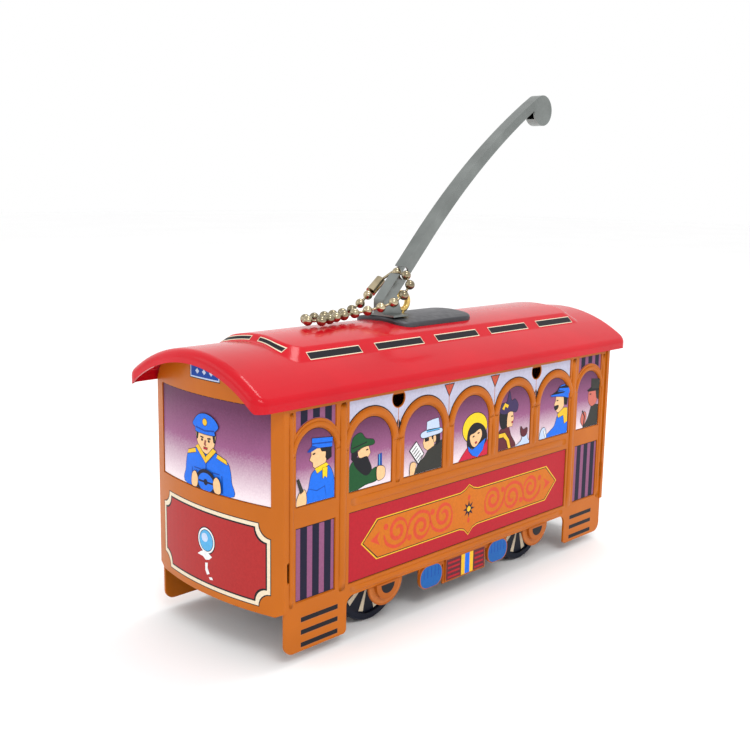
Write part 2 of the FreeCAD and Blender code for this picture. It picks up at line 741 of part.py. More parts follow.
def make_chassis():
    """The steel floor, open over the wheels and the motor, with four lugs for the axles."""
    body = new_body("chassis_frame")
    plan = new_sketch(body, "XY", "floor", floor_bottom)
    edge = size("truckPlane")
    end = half_length - skin - 0.1
    draw_box(plan, -edge, -end, edge, end)
    for side in (-1, 1):
        for place in (-axle_y, axle_y):
            inner, outer = sorted((side * 12.9, side * 17.0))
            draw_box(plan, inner, place - 10.6, outer, place + 10.6)
    draw_box(plan, -8.2, MOTOR_BACK - 1.0, 8.2, MOTOR_FRONT + 1.0)
    pad(body, plan, "Sizes.floorSteel")
    for number, inner in enumerate((-12.8, 12.2)):
        lugs = new_sketch(body, "YZ", f"lugs{number}", inner)
        for place in (-axle_y, axle_y):
            low = wheel_radius - 3.2
            draw(
                lugs,
                (place - 4.5, floor_bottom + 0.1), (place - 3.2, wheel_radius),
                ((place, low), (place + 3.2, wheel_radius)), (place + 4.5, floor_bottom + 0.1),
            )
        pad(body, lugs, "Sizes.motorSteel")
    bores = new_sketch(body, "YZ", "bores")
    for place in (-axle_y, axle_y):
        draw_circle(bores, (place, wheel_radius), "Sizes.axleRadius + Sizes.running")
    pocket(body, bores, "Sizes.bodyHalfWidth * 2", midplane=True)
    rivets = new_sketch(body, "XY", "rivets", floor_bottom)
    for place in RIVET_PLACES:
        draw_circle(rivets, place, "Sizes.rivetRadius")
    pocket(body, rivets, "Sizes.floorSteel * 4", midplane=True)
    return body


def make_truck_side(label, side):
    """The pressed strip behind the sill: axle guards, axle boxes, two tanks and a louvred box."""
    body = new_body(label)
    plane = size("truckPlane")
    sill = size("sillBottom")
    top = sill + 4.0
    end = size("stepInner") + 3
    strip = new_sketch(body, "YZ", "strip", side * plane)
    guard = 5.6
    tank_low = 5.0
    slack = 1 - math.sqrt(0.5)

    def guard_steps(place):
        return [(place - guard, sill), ((place, sill - guard), (place + guard, sill))]

    def tank_steps(left, right):
        """Down one side of a tank, round its two corners and up the other side."""
        corner = 2.6
        return [
            (left, tank_low + corner),
            ((left + corner * slack, tank_low + corner * slack), (left + corner, tank_low)),
            (right - corner, tank_low),
            ((right - corner * slack, tank_low + corner * slack), (right, tank_low + corner)),
        ]

    box_low = 4.5
    draw(
        strip,
        (-end, top), (-end, sill), *guard_steps(-axle_y), (-17.6, sill), *tank_steps(-17.6, -9.4),
        (-9.4, sill - 1.2), (-8.8, sill - 1.2), (-8.8, box_low), (7.6, box_low), (7.6, sill - 1.2),
        (8.2, sill - 1.2), *tank_steps(8.2, 16.4), (16.4, sill), *guard_steps(axle_y),
        (end, sill), (end, top),
    )
    pad(body, strip, "Sizes.tin", reverse=side < 0)

    outer = side * (plane + size("tin"))
    boxes = new_sketch(body, "YZ", "boxes", outer)
    for place in (-axle_y, axle_y):
        draw(
            boxes,
            (place - 3.7, sill), (place - 3.7, sill - 0.2), ((place, sill - 3.9), (place + 3.7, sill - 0.2)),
            (place + 3.7, sill),
        )
    pad(body, boxes, "Sizes.tin * 2", reverse=side < 0)
    tanks = new_sketch(body, "YZ", "tanks", outer)
    for left, right in ((-17.6, -9.4), (8.2, 16.4)):
        draw_round_box(tanks, left + 0.02, tank_low + 0.02, right - 0.02, sill - 0.05, 2.4)
    draw_box(tanks, -8.2, box_low + 0.4, 7.0, sill - 0.05)
    pad(body, tanks, "Sizes.tin", reverse=side < 0)
    centres = new_sketch(body, "YZ", "centres", side * (plane + 3 * size("tin")))
    for place in (-axle_y, axle_y):
        draw(centres, (place - 2.1, sill - 0.4), ((place, sill - 2.5), (place + 2.1, sill - 0.4)))
    pocket(body, centres, "Sizes.tin", reverse=side < 0)
    return body


def make_wheel(label, side, place):
    """A wheel with a raised tread and a hub on its outer face, pressed on the axle."""
    body = new_body(label)
    width = size("wheelWidth")
    bore = size("axleRadius")
    profile = new_sketch(body, "XY", "profile")
    draw(
        profile,
        (0, bore), (0, 2.6), (0.9, 2.6), (0.9, 8.3), (0.2, 8.3), (0.2, wheel_radius - 0.4),
        (0.6, wheel_radius), (width, wheel_radius), (width, 8.7), (1.7, 8.7), (1.7, 3.0),
        (width, 3.0), (width, bore),
    )
    revolve(body, profile)
    turn = Rotation(Vector(0, 0, 1), 180 if side > 0 else 0)
    body.Placement = Placement(Vector(side * size("wheelOuter"), place, wheel_radius), turn)
    return body


make_chassis()
make_truck_side("truck_side_right", 1)
make_truck_side("truck_side_left", -1)
for end_name, place in (("front", -axle_y), ("rear", axle_y)):
    make_wheel(f"{end_name}_wheel_right", 1, place)
    make_wheel(f"{end_name}_wheel_left", -1, place)
    reach = size("wheelOuter")
    axle = cylinder_x(f"{end_name}_axle", "Sizes.axleRadius", -reach, reach, place, wheel_radius)
    keep(axle, f"{end_name}_axle")


# ---------------------------------------------------------------- clockwork

arbor_y, arbor_z = size("arborY"), size("arborZ")
module = size("gearModule")
great_radius = module * size("greatTeeth") / 2
staff_pinion_radius = module * size("staffPinionTeeth") / 2
staff_wheel_radius = module * size("staffWheelTeeth") / 2
axle_pinion_radius = module * size("axlePinionTeeth") / 2
gap = size("motorHalfGap")


def staff_place():
    """The intermediate staff, at the right distance from the arbor and from the drive axle."""
    to_arbor = great_radius + staff_pinion_radius
    to_axle = staff_wheel_radius + axle_pinion_radius
    span_y, span_z = axle_y - arbor_y, wheel_radius - arbor_z
    span = math.hypot(span_y, span_z)
    along = (to_arbor**2 - to_axle**2 + span**2) / (2 * span)
    aside = math.sqrt(to_arbor**2 - along**2)
    unit_y, unit_z = span_y / span, span_z / span
    return arbor_y + unit_y * along - unit_z * aside, arbor_z + unit_z * along + unit_y * aside


staff_y, staff_z = staff_place()


def make_motor_plate(label, side):
    body = new_body(label)
    inner = side * gap
    outline = new_sketch(body, "YZ", "outline", inner)
    draw(outline, *PLATE_CORNERS)
    pad(body, outline, "Sizes.motorSteel", reverse=side < 0)
    bores = new_sketch(body, "YZ", "bores", inner)
    draw_circle(bores, (arbor_y, arbor_z), "Sizes.arborRadius + Sizes.running")
    draw_circle(bores, (staff_y, staff_z), "Sizes.staffRadius + Sizes.running")
    draw_circle(bores, (axle_y, wheel_radius), "Sizes.axleRadius + Sizes.running")
    for place in PILLAR_PLACES:
        draw_circle(bores, place, "Sizes.pillarRadius * 0.6")
    pocket(body, bores, "Sizes.motorSteel * 4", midplane=True)
    feet = new_sketch(body, "XY", "feet", floor_bottom + size("floorSteel"))
    for x, y in RIVET_PLACES:
        if x * side > 0:
            left, right = sorted((side * (gap + 0.1), side * 11.6))
            draw_box(feet, left, y - 2.4, right, y + 2.4)
            draw_circle(feet, (x, y), "Sizes.rivetRadius")
    pad(body, feet, "Sizes.motorSteel")
    return body


def make_pillars():
    """Four turned spacers, shouldered against the plates, their ends riveted over."""
    bars = []
    out = gap + size("motorSteel") + 0.3
    for number, (y, z) in enumerate(PILLAR_PLACES, start=1):
        bars.append(cylinder_x(f"pillar_{number}", "Sizes.pillarRadius", -gap, gap, y, z))
        bars.append(cylinder_x(f"pillar_end_{number}", "Sizes.pillarRadius * 0.6", -out, out, y, z))
    return keep(fuse("motor_pillars", bars), "motor_pillars")


def make_rivets():
    """Four rivets through the motor's feet and the floor."""
    solids = []
    head = floor_bottom + size("floorSteel") + size("motorSteel")
    for number, (x, y) in enumerate(RIVET_PLACES, start=1):
        shank = doc.addObject("Part::Cylinder", f"rivet_shank_{number}")
        shank.setExpression("Radius", "Sizes.rivetRadius")
        shank.Height = head - floor_bottom + 0.8
        shank.Placement = Placement(Vector(x, y, floor_bottom - 0.4), Rotation())
        solids.append(shank)
        for end, level in (("top", head), ("bottom", floor_bottom - 0.5)):
            button = doc.addObject("Part::Cylinder", f"rivet_{end}_{number}")
            button.setExpression("Radius", "Sizes.rivetRadius * 1.8")
            button.Height = 0.5
            button.Placement = Placement(Vector(x, y, level), Rotation())
            solids.append(button)
    return keep(fuse("chassis_rivets", solids), "chassis_rivets")


def make_gear(label, teeth_name, left, thickness_expression, place, bore_expression, turn):
    """A spur gear: a disc, one tooth space cut out, the space repeated round the X axis."""
    body = new_body(label)
    teeth = int(size(teeth_name))
    pitch_radius = module * teeth / 2
    blank = new_sketch(body, "YZ", "blank", left)
    draw_circle(blank, (0, 0), f"Sizes.gearModule * (Sizes.{teeth_name} / 2 + {TOOTH_RISE})")
    draw_circle(blank, (0, 0), bore_expression)
    pad(body, blank, thickness_expression)
    pitch = math.pi * module
    root = pitch_radius - TOOTH_FALL * module
    tip = pitch_radius + TOOTH_RISE * module
    space = new_sketch(body, "YZ", "space", left)
    draw(
        space,
        (root, -SPACE_ROOT * pitch / 2), (pitch_radius, -SPACE_PITCH * pitch / 2),
        (tip, -SPACE_TIP * pitch / 2), (tip + 0.4, -SPACE_TIP * pitch / 2),
        (tip + 0.4, SPACE_TIP * pitch / 2), (tip, SPACE_TIP * pitch / 2),
        (pitch_radius, SPACE_PITCH * pitch / 2), (root, SPACE_ROOT * pitch / 2),
    )
    one_space = pocket(body, space, f"{thickness_expression} * 4", midplane=True)
    repeat_round_x(body, one_space, teeth)
    body.Placement = Placement(Vector(0, *place), Rotation(Vector(1, 0, 0), turn))
    return body


def bearing(start, end):
    """Direction in degrees, in the YZ plane, from one axis to another."""
    return math.degrees(math.atan2(end[1] - start[1], end[0] - start[0]))


def make_train():
    """Great wheel, intermediate pinion and wheel, drive pinion: each pair meshes at rest."""
    arbor, staff, axle = (arbor_y, arbor_z), (staff_y, staff_z), (axle_y, wheel_radius)
    to_staff = bearing(arbor, staff)
    to_axle = bearing(staff, axle)
    tooth = 180 / size("staffPinionTeeth")
    make_gear("great_wheel", "greatTeeth", GREAT_WHEEL_LEFT, "Sizes.gearSheet", arbor,
              "Sizes.arborRadius + Sizes.running", to_staff)
    make_gear("intermediate_pinion", "staffPinionTeeth", 4.8, "Sizes.pinionLength", staff,
              "Sizes.staffRadius", to_staff + 180 + tooth)
    make_gear("intermediate_wheel", "staffWheelTeeth", -6.2, "Sizes.gearSheet", staff,
              "Sizes.staffRadius", to_axle)
    make_gear("drive_pinion", "axlePinionTeeth", -6.6, "Sizes.pinionLength", axle,
              "Sizes.axleRadius", to_axle + 180 + 180 / size("axlePinionTeeth"))


def make_ratchet():
    """Saw-toothed wheel fixed on the arbor, beside the great wheel."""
    body = new_body("ratchet_wheel")
    left = RATCHET_LEFT
    teeth = int(size("ratchetTeeth"))
    outer = size("ratchetRadius")
    root = outer - 0.9
    blank = new_sketch(body, "YZ", "blank", left)
    draw_circle(blank, (0, 0), "Sizes.ratchetRadius")
    draw_circle(blank, (0, 0), "Sizes.arborRadius")
    pad(body, blank, "Sizes.gearSheet")
    step = math.radians(360 / teeth)
    notch = new_sketch(body, "YZ", "notch", left)
    far = outer + 0.5
    draw(
        notch,
        (root, 0), (far, 0), (far * math.cos(step * 0.92), far * math.sin(step * 0.92)),
        (outer * math.cos(step * 0.92), outer * math.sin(step * 0.92)),
    )
    one_notch = pocket(body, notch, "Sizes.gearSheet * 4", midplane=True)
    repeat_round_x(body, one_notch, teeth)
    body.Placement = Placement(Vector(0, arbor_y, arbor_z), Rotation())
    return body


def polar(radius, degrees):
    return (radius * math.cos(math.radians(degrees)), radius * math.sin(math.radians(degrees)))


def make_click():
    """The pawl: an arm from its stud to a nose that rides the ratchet's teeth."""
    body = new_body("click")
    outline = new_sketch(body, "YZ", "outline", RATCHET_LEFT)
    pivot = polar(*CLICK_PIVOT)
    nose = polar(size("ratchetRadius") + 0.12, 118)
    back = polar(size("ratchetRadius") + 1.7, 112)
    out = Vector(*pivot, 0) - Vector(*nose, 0)
    aside = Vector(-out.y, out.x, 0).normalize() * 1.25
    end = out.normalize() * 1.25
    draw(
        outline,
        nose, (pivot[0] - aside.x, pivot[1] - aside.y),
        ((pivot[0] + end.x, pivot[1] + end.y), (pivot[0] + aside.x, pivot[1] + aside.y)), back,
    )
    draw_circle(outline, pivot, "Sizes.studRadius + Sizes.running")
    pad(body, outline, "Sizes.gearSheet - 0.1")
    body.Placement = Placement(Vector(0, arbor_y, arbor_z), Rotation())
    return body


def make_click_stud():
    """Riveted into the great wheel, with a head that keeps the click on."""
    pivot = polar(*CLICK_PIVOT)
    place = (arbor_y + pivot[0], arbor_z + pivot[1])
    shank = cylinder_x("stud_shank", "Sizes.studRadius", RATCHET_LEFT - 0.6, GREAT_WHEEL_LEFT, *place)
    left = RATCHET_LEFT - 0.6
    head = cylinder_x("stud_head", "Sizes.studRadius * 1.7", left, RATCHET_LEFT - 0.1, *place)
    return keep(fuse("click_stud", [shank, head]), "click_stud")


def make_click_spring():
    """A leaf fixed on the great wheel, bearing lightly on the click's back."""
    body = new_body("click_spring")
    outline = new_sketch(body, "YZ", "outline", RATCHET_LEFT + 0.1)
    root = Vector(*polar(9.6, 150), 0)
    near = Vector(*polar(size("ratchetRadius") + 2.1, 124), 0)
    side = (near - root).normalize()
    across = Vector(-side.y, side.x, 0) * 0.2
    corners = (root - across, near - across, near + across, root + across)
    draw(outline, *[(point.x, point.y) for point in corners])
    pad(body, outline, "Sizes.gearSheet - 0.2")
    block = new_sketch(body, "YZ", "block", RATCHET_LEFT + 0.1)
    draw_circle(block, (root.x, root.y), "Sizes.studRadius")
    pad(body, block, f"{GREAT_WHEEL_LEFT - RATCHET_LEFT - 0.1}")
    body.Placement = Placement(Vector(0, arbor_y, arbor_z), Rotation())
    return body


def make_mainspring():
    """A steel strip wound in a spiral round the arbor."""
    inner, outer, turns, strip = 1.9, 10.4, 7, 0.3
    left, right = -2.6, 3.4
    steps_per_turn = 12

    def spiral(offset):
        points = []
        for step in range(turns * steps_per_turn + 1):
            part_way = step / (turns * steps_per_turn)
            radius = inner + offset + (outer - inner) * part_way
            angle = 2 * math.pi * step / steps_per_turn
            points.append(Vector(left, radius * math.cos(angle), radius * math.sin(angle)))
        curve = Part.BSplineCurve()
        curve.interpolate(points)
        return curve.toShape()

    inside, outside = spiral(0), spiral(strip)
    ends = [
        Part.makeLine(inside.Vertexes[0].Point, outside.Vertexes[0].Point),
        Part.makeLine(inside.Vertexes[-1].Point, outside.Vertexes[-1].Point),
    ]
    face = Part.Face(Part.Wire(Part.__sortEdges__([inside, ends[1], outside, ends[0]])))
    feature = doc.addObject("Part::Feature", "mainspring")
    feature.Shape = face.extrude(Vector(right - left, 0, 0))
    feature.Placement = Placement(Vector(0, arbor_y, arbor_z), Rotation())
    return keep(feature, "mainspring")


def make_arbor():
    """Round between the plates, reaching out through the left side to a square for the key."""
    key_end = -half_width - 7.5
    square_start = -half_width - 1.5
    bar = cylinder_x("arbor_bar", "Sizes.arborRadius", square_start, gap + 0.9, arbor_y, arbor_z)
    square = doc.addObject("Part::Box", "arbor_square")
    square.Length = square_start - key_end
    for side in ("Width", "Height"):
        square.setExpression(side, "Sizes.keySquare")
    half = size("keySquare") / 2
    square.Placement = Placement(Vector(key_end, arbor_y - half, arbor_z - half), Rotation())
    return keep(fuse("winding_arbor", [bar, square]), "winding_arbor")


def make_key():
    """A butterfly key: a hub with a square socket and two pierced wings."""
    body = new_body("winding_key")
    hub_start = -half_width - 1.7
    hub_end = -half_width - 10.5
    hub = new_sketch(body, "YZ", "hub", hub_start)
    draw_circle(hub, (0, 0), "Sizes.keyHub")
    pad(body, hub, f"{hub_start - hub_end}", reverse=True)
    socket = new_sketch(body, "YZ", "socket", hub_start)
    half = size("keySquare") / 2
    draw_box(socket, -half, -half, half, half)
    pocket(body, socket, "6.2")
    wings = new_sketch(body, "XY", "wings")
    wing_x = hub_end - 3.2
    wing_y = 6.4
    wing_radius = 4.9
    web = 1.9
    touch = wing_radius * 0.75
    rise = math.sqrt(wing_radius**2 - touch**2)
    draw(
        wings,
        (hub_end + 1.5, -web), (hub_end + 1.5, web), (wing_x + rise, wing_y - touch),
        ((wing_x, wing_y + wing_radius), (wing_x - rise, wing_y - touch)),
        (wing_x - rise, -wing_y + touch),
        ((wing_x, -wing_y - wing_radius), (wing_x + rise, -wing_y + touch)),
    )
    for side in (-1, 1):
        draw_circle(wings, (wing_x, side * wing_y), "Sizes.keyHub")
    pad(body, wings, "1.2", midplane=True)
    body.Placement = Placement(Vector(0, arbor_y, arbor_z), Rotation())
    return body


for side_name, side in (("left", -1), ("right", 1)):
    make_motor_plate(f"motor_plate_{side_name}", side)
make_pillars()
make_rivets()
make_train()
keep(cylinder_x("intermediate_staff", "Sizes.staffRadius", -gap - 0.9, gap + 0.9, staff_y, staff_z),
     "intermediate_staff")
make_ratchet()
make_click()
make_click_stud()
make_click_spring()
make_mainspring()
make_arbor()
make_key()

# ---------------------------------------------------------------- check and write

doc.recompute()
for thing in doc.Objects:
    assert "Invalid" not in thing.State and "Error" not in thing.State, (thing.Name, thing.State)
for piece in pieces:
    assert not piece.Shape.isNull() and piece.Shape.isValid(), piece.Label

os.makedirs("parts", exist_ok=True)
for piece in pieces:
    piece.Shape.exportStep(f"parts/{piece.Label}.step")
    print(f"{piece.Label:24s} {len(piece.Shape.Solids)} solid {piece.Shape.Volume:9.1f} mm3")
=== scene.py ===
"""Looks of a lithographed tin tram: chain, printed art, materials, floor, light and camera."""

import math

import bmesh
import bpy
from mathutils import Matrix, Vector
from mathutils.bvhtree import BVHTree
from mathutils.geometry import tessellate_polygon


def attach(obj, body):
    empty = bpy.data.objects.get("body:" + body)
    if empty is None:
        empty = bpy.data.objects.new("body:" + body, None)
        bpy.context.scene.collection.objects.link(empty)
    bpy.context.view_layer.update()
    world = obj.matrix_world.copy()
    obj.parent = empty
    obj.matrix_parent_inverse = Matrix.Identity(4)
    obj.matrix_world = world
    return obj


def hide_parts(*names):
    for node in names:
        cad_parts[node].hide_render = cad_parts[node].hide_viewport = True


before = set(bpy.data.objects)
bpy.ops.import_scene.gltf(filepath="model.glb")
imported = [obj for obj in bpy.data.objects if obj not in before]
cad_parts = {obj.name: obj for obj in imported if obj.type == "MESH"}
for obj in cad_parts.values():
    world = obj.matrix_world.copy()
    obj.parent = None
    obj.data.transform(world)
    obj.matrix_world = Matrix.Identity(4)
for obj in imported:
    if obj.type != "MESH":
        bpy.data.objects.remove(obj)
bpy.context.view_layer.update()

MM = 0.001
INK = 0.008


# ---------------------------------------------------------------- camera

CAMERA_PLACE = Vector((0.1736, -0.1918, 0.0990))
CAMERA_AZIMUTH, CAMERA_ELEVATION, CAMERA_ROLL = 43.98, 10.32, 0.966
CAMERA_FIELD = 39.92


def add_camera():
    azimuth, elevation, roll = (
        math.radians(angle) for angle in (CAMERA_AZIMUTH, CAMERA_ELEVATION, CAMERA_ROLL)
    )
    back = Vector((
        math.sin(azimuth) * math.cos(elevation),
        -math.cos(azimuth) * math.cos(elevation),
        math.sin(elevation),
    ))
    level = Vector((math.cos(azimuth), math.sin(azimuth), 0))
    upright = back.cross(level)
    right = level * math.cos(roll) + upright * math.sin(roll)
    up = upright * math.cos(roll) - level * math.sin(roll)
    data = bpy.data.cameras.new("camera")
    data.sensor_fit = "HORIZONTAL"
    data.angle = math.radians(CAMERA_FIELD)
    camera = bpy.data.objects.new("camera", data)
    turned = Matrix((right, up, back)).transposed().to_4x4()
    camera.matrix_world = Matrix.Translation(CAMERA_PLACE) @ turned
    bpy.context.collection.objects.link(camera)
    bpy.context.scene.camera = camera


add_camera()


# ---------------------------------------------------------------- materials

SHEEN = 0.12


def node_material(name):
    """A new node material, its shader and its object coordinates."""
    material = bpy.data.materials.new(name)
    material.use_nodes = True
    nodes = material.node_tree.nodes
    shader = nodes["Principled BSDF"]
    place = nodes.new("ShaderNodeTexCoord").outputs["Object"]
    return material, shader, place


def add_noise(material, place, scale, detail=4.0):
    noise = material.node_tree.nodes.new("ShaderNodeTexNoise")
    noise.inputs["Scale"].default_value = scale
    noise.inputs["Detail"].default_value = detail
    material.node_tree.links.new(place, noise.inputs["Vector"])
    return noise.outputs["Fac"]


def add_ramp(material, factor, stops):
    """A colour ramp over the factor: stops are (position, colour)."""
    ramp = material.node_tree.nodes.new("ShaderNodeValToRGB")
    elements = ramp.color_ramp.elements
    while len(elements) < len(stops):
        elements.new(0.5)
    for element, (position, colour) in zip(elements, stops):
        element.position = position
        element.color = (*colour, 1)
    material.node_tree.links.new(factor, ramp.inputs["Fac"])
    return ramp.outputs["Color"]


def add_bump(material, shader, height, strength, distance):
    bump = material.node_tree.nodes.new("ShaderNodeBump")
    bump.inputs["Strength"].default_value = strength
    bump.inputs["Distance"].default_value = distance
    material.node_tree.links.new(height, bump.inputs["Height"])
    material.node_tree.links.new(bump.outputs["Normal"], shader.inputs["Normal"])


def shaded(colour, factor):
    return tuple(channel * factor for channel in colour)


def add_roughness(material, shader, factor, low, high):
    spread = material.node_tree.nodes.new("ShaderNodeMapRange")
    spread.inputs["To Min"].default_value = low
    spread.inputs["To Max"].default_value = high
    material.node_tree.links.new(factor, spread.inputs["Value"])
    material.node_tree.links.new(spread.outputs["Result"], shader.inputs["Roughness"])


def add_varnish(material, shader, grain):
    """The thin satin varnish over litho print."""
    add_roughness(material, shader, grain, 0.4, 0.5)
    shader.inputs["Specular IOR Level"].default_value = SHEEN
    shader.inputs["Coat Weight"].default_value = 0.05
    shader.inputs["Coat Roughness"].default_value = 0.15


def enamel(name, colour, worn, roughness, coat):
    """Glossy paint on tin: uneven ink, faint handling marks, a slightly wavy surface."""
    material, shader, place = node_material(name)
    cloud = add_noise(material, place, 60.0)
    stops = [(0.3, shaded(colour, 0.9)), (0.62, colour), (0.86, worn)]
    tint = add_ramp(material, cloud, stops)
    material.node_tree.links.new(tint, shader.inputs["Base Color"])
    grain = add_noise(material, place, 900.0, 2.0)
    add_roughness(material, shader, grain, roughness - 0.07, roughness + 0.1)
    add_bump(material, shader, cloud, 0.05, 0.0003)
    shader.inputs["Specular IOR Level"].default_value = SHEEN
    shader.inputs["Coat Weight"].default_value = coat
    shader.inputs["Coat Roughness"].default_value = 0.09
    return material


def printed(name, colour):
    """Litho ink: one colour with the fine unevenness of print, under varnish."""
    material, shader, place = node_material(name)
    grain = add_noise(material, place, 1800.0, 3.0)
    stops = [(0.35, shaded(colour, 0.9)), (0.65, colour)]
    tint = add_ramp(material, grain, stops)
    material.node_tree.links.new(tint, shader.inputs["Base Color"])
    add_varnish(material, shader, grain)
    return material


def dusk(name, low, high, bottom_tone, middle_tone, top_tone):
    """A printed sky that fades upwards between two heights, in millimetres."""
    material, shader, place = node_material(name)
    links = material.node_tree.links
    split = material.node_tree.nodes.new("ShaderNodeSeparateXYZ")
    links.new(place, split.inputs["Vector"])
    span = material.node_tree.nodes.new("ShaderNodeMapRange")
    span.inputs["From Min"].default_value = low * MM
    span.inputs["From Max"].default_value = high * MM
    links.new(split.outputs["Z"], span.inputs["Value"])
    grain = add_noise(material, place, 2600.0, 1.0)
    dotted = material.node_tree.nodes.new("ShaderNodeMath")
    dotted.operation = "MULTIPLY_ADD"
    dotted.inputs[1].default_value = 0.14
    links.new(grain, dotted.inputs[0])
    links.new(span.outputs["Result"], dotted.inputs[2])
    stops = [(0.1, bottom_tone), (0.58, middle_tone), (1.0, top_tone)]
    tint = add_ramp(material, dotted.outputs["Value"], stops)
    links.new(tint, shader.inputs["Base Color"])
    add_varnish(material, shader, grain)
    return material


def metal(name, colour, roughness, grain_scale=500.0, dull=0.75, bump=0.1):
    """Bare or plated metal with fine scratches and dull patches."""
    material, shader, place = node_material(name)
    patches = add_noise(material, place, 140.0)
    tint = add_ramp(material, patches, [(0.32, shaded(colour, dull)), (0.7, colour)])
    material.node_tree.links.new(tint, shader.inputs["Base Color"])
    scratches = add_noise(material, place, grain_scale, 6.0)
    add_roughness(material, shader, scratches, roughness * 0.7, roughness * 1.4)
    add_bump(material, shader, scratches, bump, 0.0001)
    shader.inputs["Metallic"].default_value = 1.0
    return material


ORANGE = (0.50, 0.127, 0.005)
RED = (0.56, 0.003, 0.012)
inks = {
    "blue": (0.012, 0.16, 0.80),
    "deep_blue": (0.006, 0.06, 0.36),
    "sky": (0.10, 0.42, 0.75),
    "gold": (0.86, 0.52, 0.03),
    "yellow": (0.93, 0.63, 0.02),
    "skin": (0.90, 0.55, 0.28),
    "ruddy": (0.62, 0.16, 0.12),
    "black": (0.012, 0.012, 0.016),
    "charcoal": (0.035, 0.035, 0.03),
    "green": (0.012, 0.085, 0.025),
    "pale_blue": (0.55, 0.66, 0.86),
    "white": (0.85, 0.85, 0.86),
    "cream": (0.82, 0.70, 0.52),
    "crimson": (0.60, 0.015, 0.05),
    "maroon": (0.12, 0.02, 0.03),
    "violet": (0.05, 0.03, 0.10),
    "navy": (0.010, 0.009, 0.03),
    "tank_blue": (0.01, 0.12, 0.42),
    "mauve": (0.27, 0.09, 0.19),
    "dado_red": (0.46, 0.012, 0.024),
    "front_red": (0.42, 0.026, 0.026),
    "plaque": (0.62, 0.165, 0.01),
    "scroll_red": (0.66, 0.075, 0.03),
    "lavender": (0.52, 0.52, 0.66),
    "red_mark": (0.60, 0.09, 0.05),
    "tan": (0.50, 0.15, 0.03),
}
ink = {name: printed(f"ink_{name}", colour) for name, colour in inks.items()}
DUSK_TOP, DUSK_MIDDLE, DUSK_LOW = (0.125, 0.035, 0.09), (0.30, 0.10, 0.22), (0.84, 0.72, 0.76)
side_dusk = dusk("side_dusk", 34.0, 50.2, DUSK_LOW, DUSK_MIDDLE, DUSK_TOP)
screen_dusk = dusk("screen_dusk", 34.3, 55.2, DUSK_LOW, DUSK_MIDDLE, DUSK_TOP)
orange_enamel = enamel("orange_enamel", ORANGE, (0.56, 0.155, 0.01), 0.32, 0.1)
red_enamel = enamel("red_enamel", RED, (0.60, 0.006, 0.018), 0.2, 0.2)
truck_enamel = enamel("truck_enamel", (0.42, 0.105, 0.01), (0.48, 0.14, 0.02), 0.36, 0.08)
wheel_enamel = enamel("wheel_enamel", (0.006, 0.008, 0.02), (0.015, 0.015, 0.03), 0.34, 0.08)
dark_steel = metal("dark_steel", (0.10, 0.10, 0.11), 0.42)
pole_steel = metal("pole_steel", (0.27, 0.29, 0.28), 0.34, 700.0)
chain_metal = metal("chain_metal", (0.56, 0.47, 0.31), 0.15, dull=0.35)
eye_brass = metal("eye_brass", (0.80, 0.55, 0.18), 0.2)
grey_steel = metal("grey_steel", (0.26, 0.27, 0.29), 0.4)
bright_steel = metal("bright_steel", (0.55, 0.56, 0.57), 0.25)
spring_steel = metal("spring_steel", (0.22, 0.26, 0.36), 0.3)
gear_brass = metal("gear_brass", (0.72, 0.50, 0.20), 0.28)

finishes = [
    (orange_enamel, ["side_panel_right", "side_panel_left", "front_panel", "rear_panel"]),
    (red_enamel, ["roof_shell"]),
    (truck_enamel, ["truck_side_right", "truck_side_left"]),
    (wheel_enamel, ["front_wheel_right", "front_wheel_left", "rear_wheel_right", "rear_wheel_left"]),
    (dark_steel, ["pole_base_plate"]),
    (pole_steel, ["trolley_pole"]),
    (eye_brass, ["hanger_eye"]),
    (chain_metal, ["chain_connector"]),
    (grey_steel, ["chassis_frame"]),
    (spring_steel, ["mainspring", "click_spring"]),
    (gear_brass, ["great_wheel", "intermediate_wheel", "intermediate_pinion", "drive_pinion"]),
    (bright_steel, ["motor_plate_left", "motor_plate_right", "motor_pillars", "chassis_rivets"]),
    (bright_steel, ["winding_key", "winding_arbor", "ratchet_wheel", "click", "click_stud"]),
    (bright_steel, ["intermediate_staff", "front_axle", "rear_axle"]),
]
for material, nodes in finishes:
    for node in nodes:
        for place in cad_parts[node].material_slots:
            place.material = material


# ---------------------------------------------------------------- chain

CHAIN_ROUTE = [
    (-0.0020, -0.0039, 0.0783), (0.0026, -0.0040, 0.0783), (0.0049, -0.0047, 0.0760),
    (0.0051, -0.0073, 0.0732), (0.0042, -0.0110, 0.0713), (0.0022, -0.0140, 0.0702),
    (0.0002, -0.0172, 0.0695), (-0.0007, -0.0208, 0.0690), (-0.0002, -0.0245, 0.0689),
    (0.0012, -0.0282, 0.0688), (0.0026, -0.0320, 0.0687), (0.0006, -0.0344, 0.0687),
    (-0.0025, -0.0338, 0.0687), (-0.0035, -0.0304, 0.0687), (-0.0034, -0.0266, 0.0688),
    (-0.0042, -0.0228, 0.0688), (-0.0044, -0.0190, 0.0689), (-0.0046, -0.0152, 0.0695),
    (-0.0048, -0.0118, 0.0712), (-0.0049, -0.0089, 0.0734),
]
BEAD_RADIUS = 0.0012
BEAD_PITCH = 0.0033
LINK_RADIUS = 0.0003


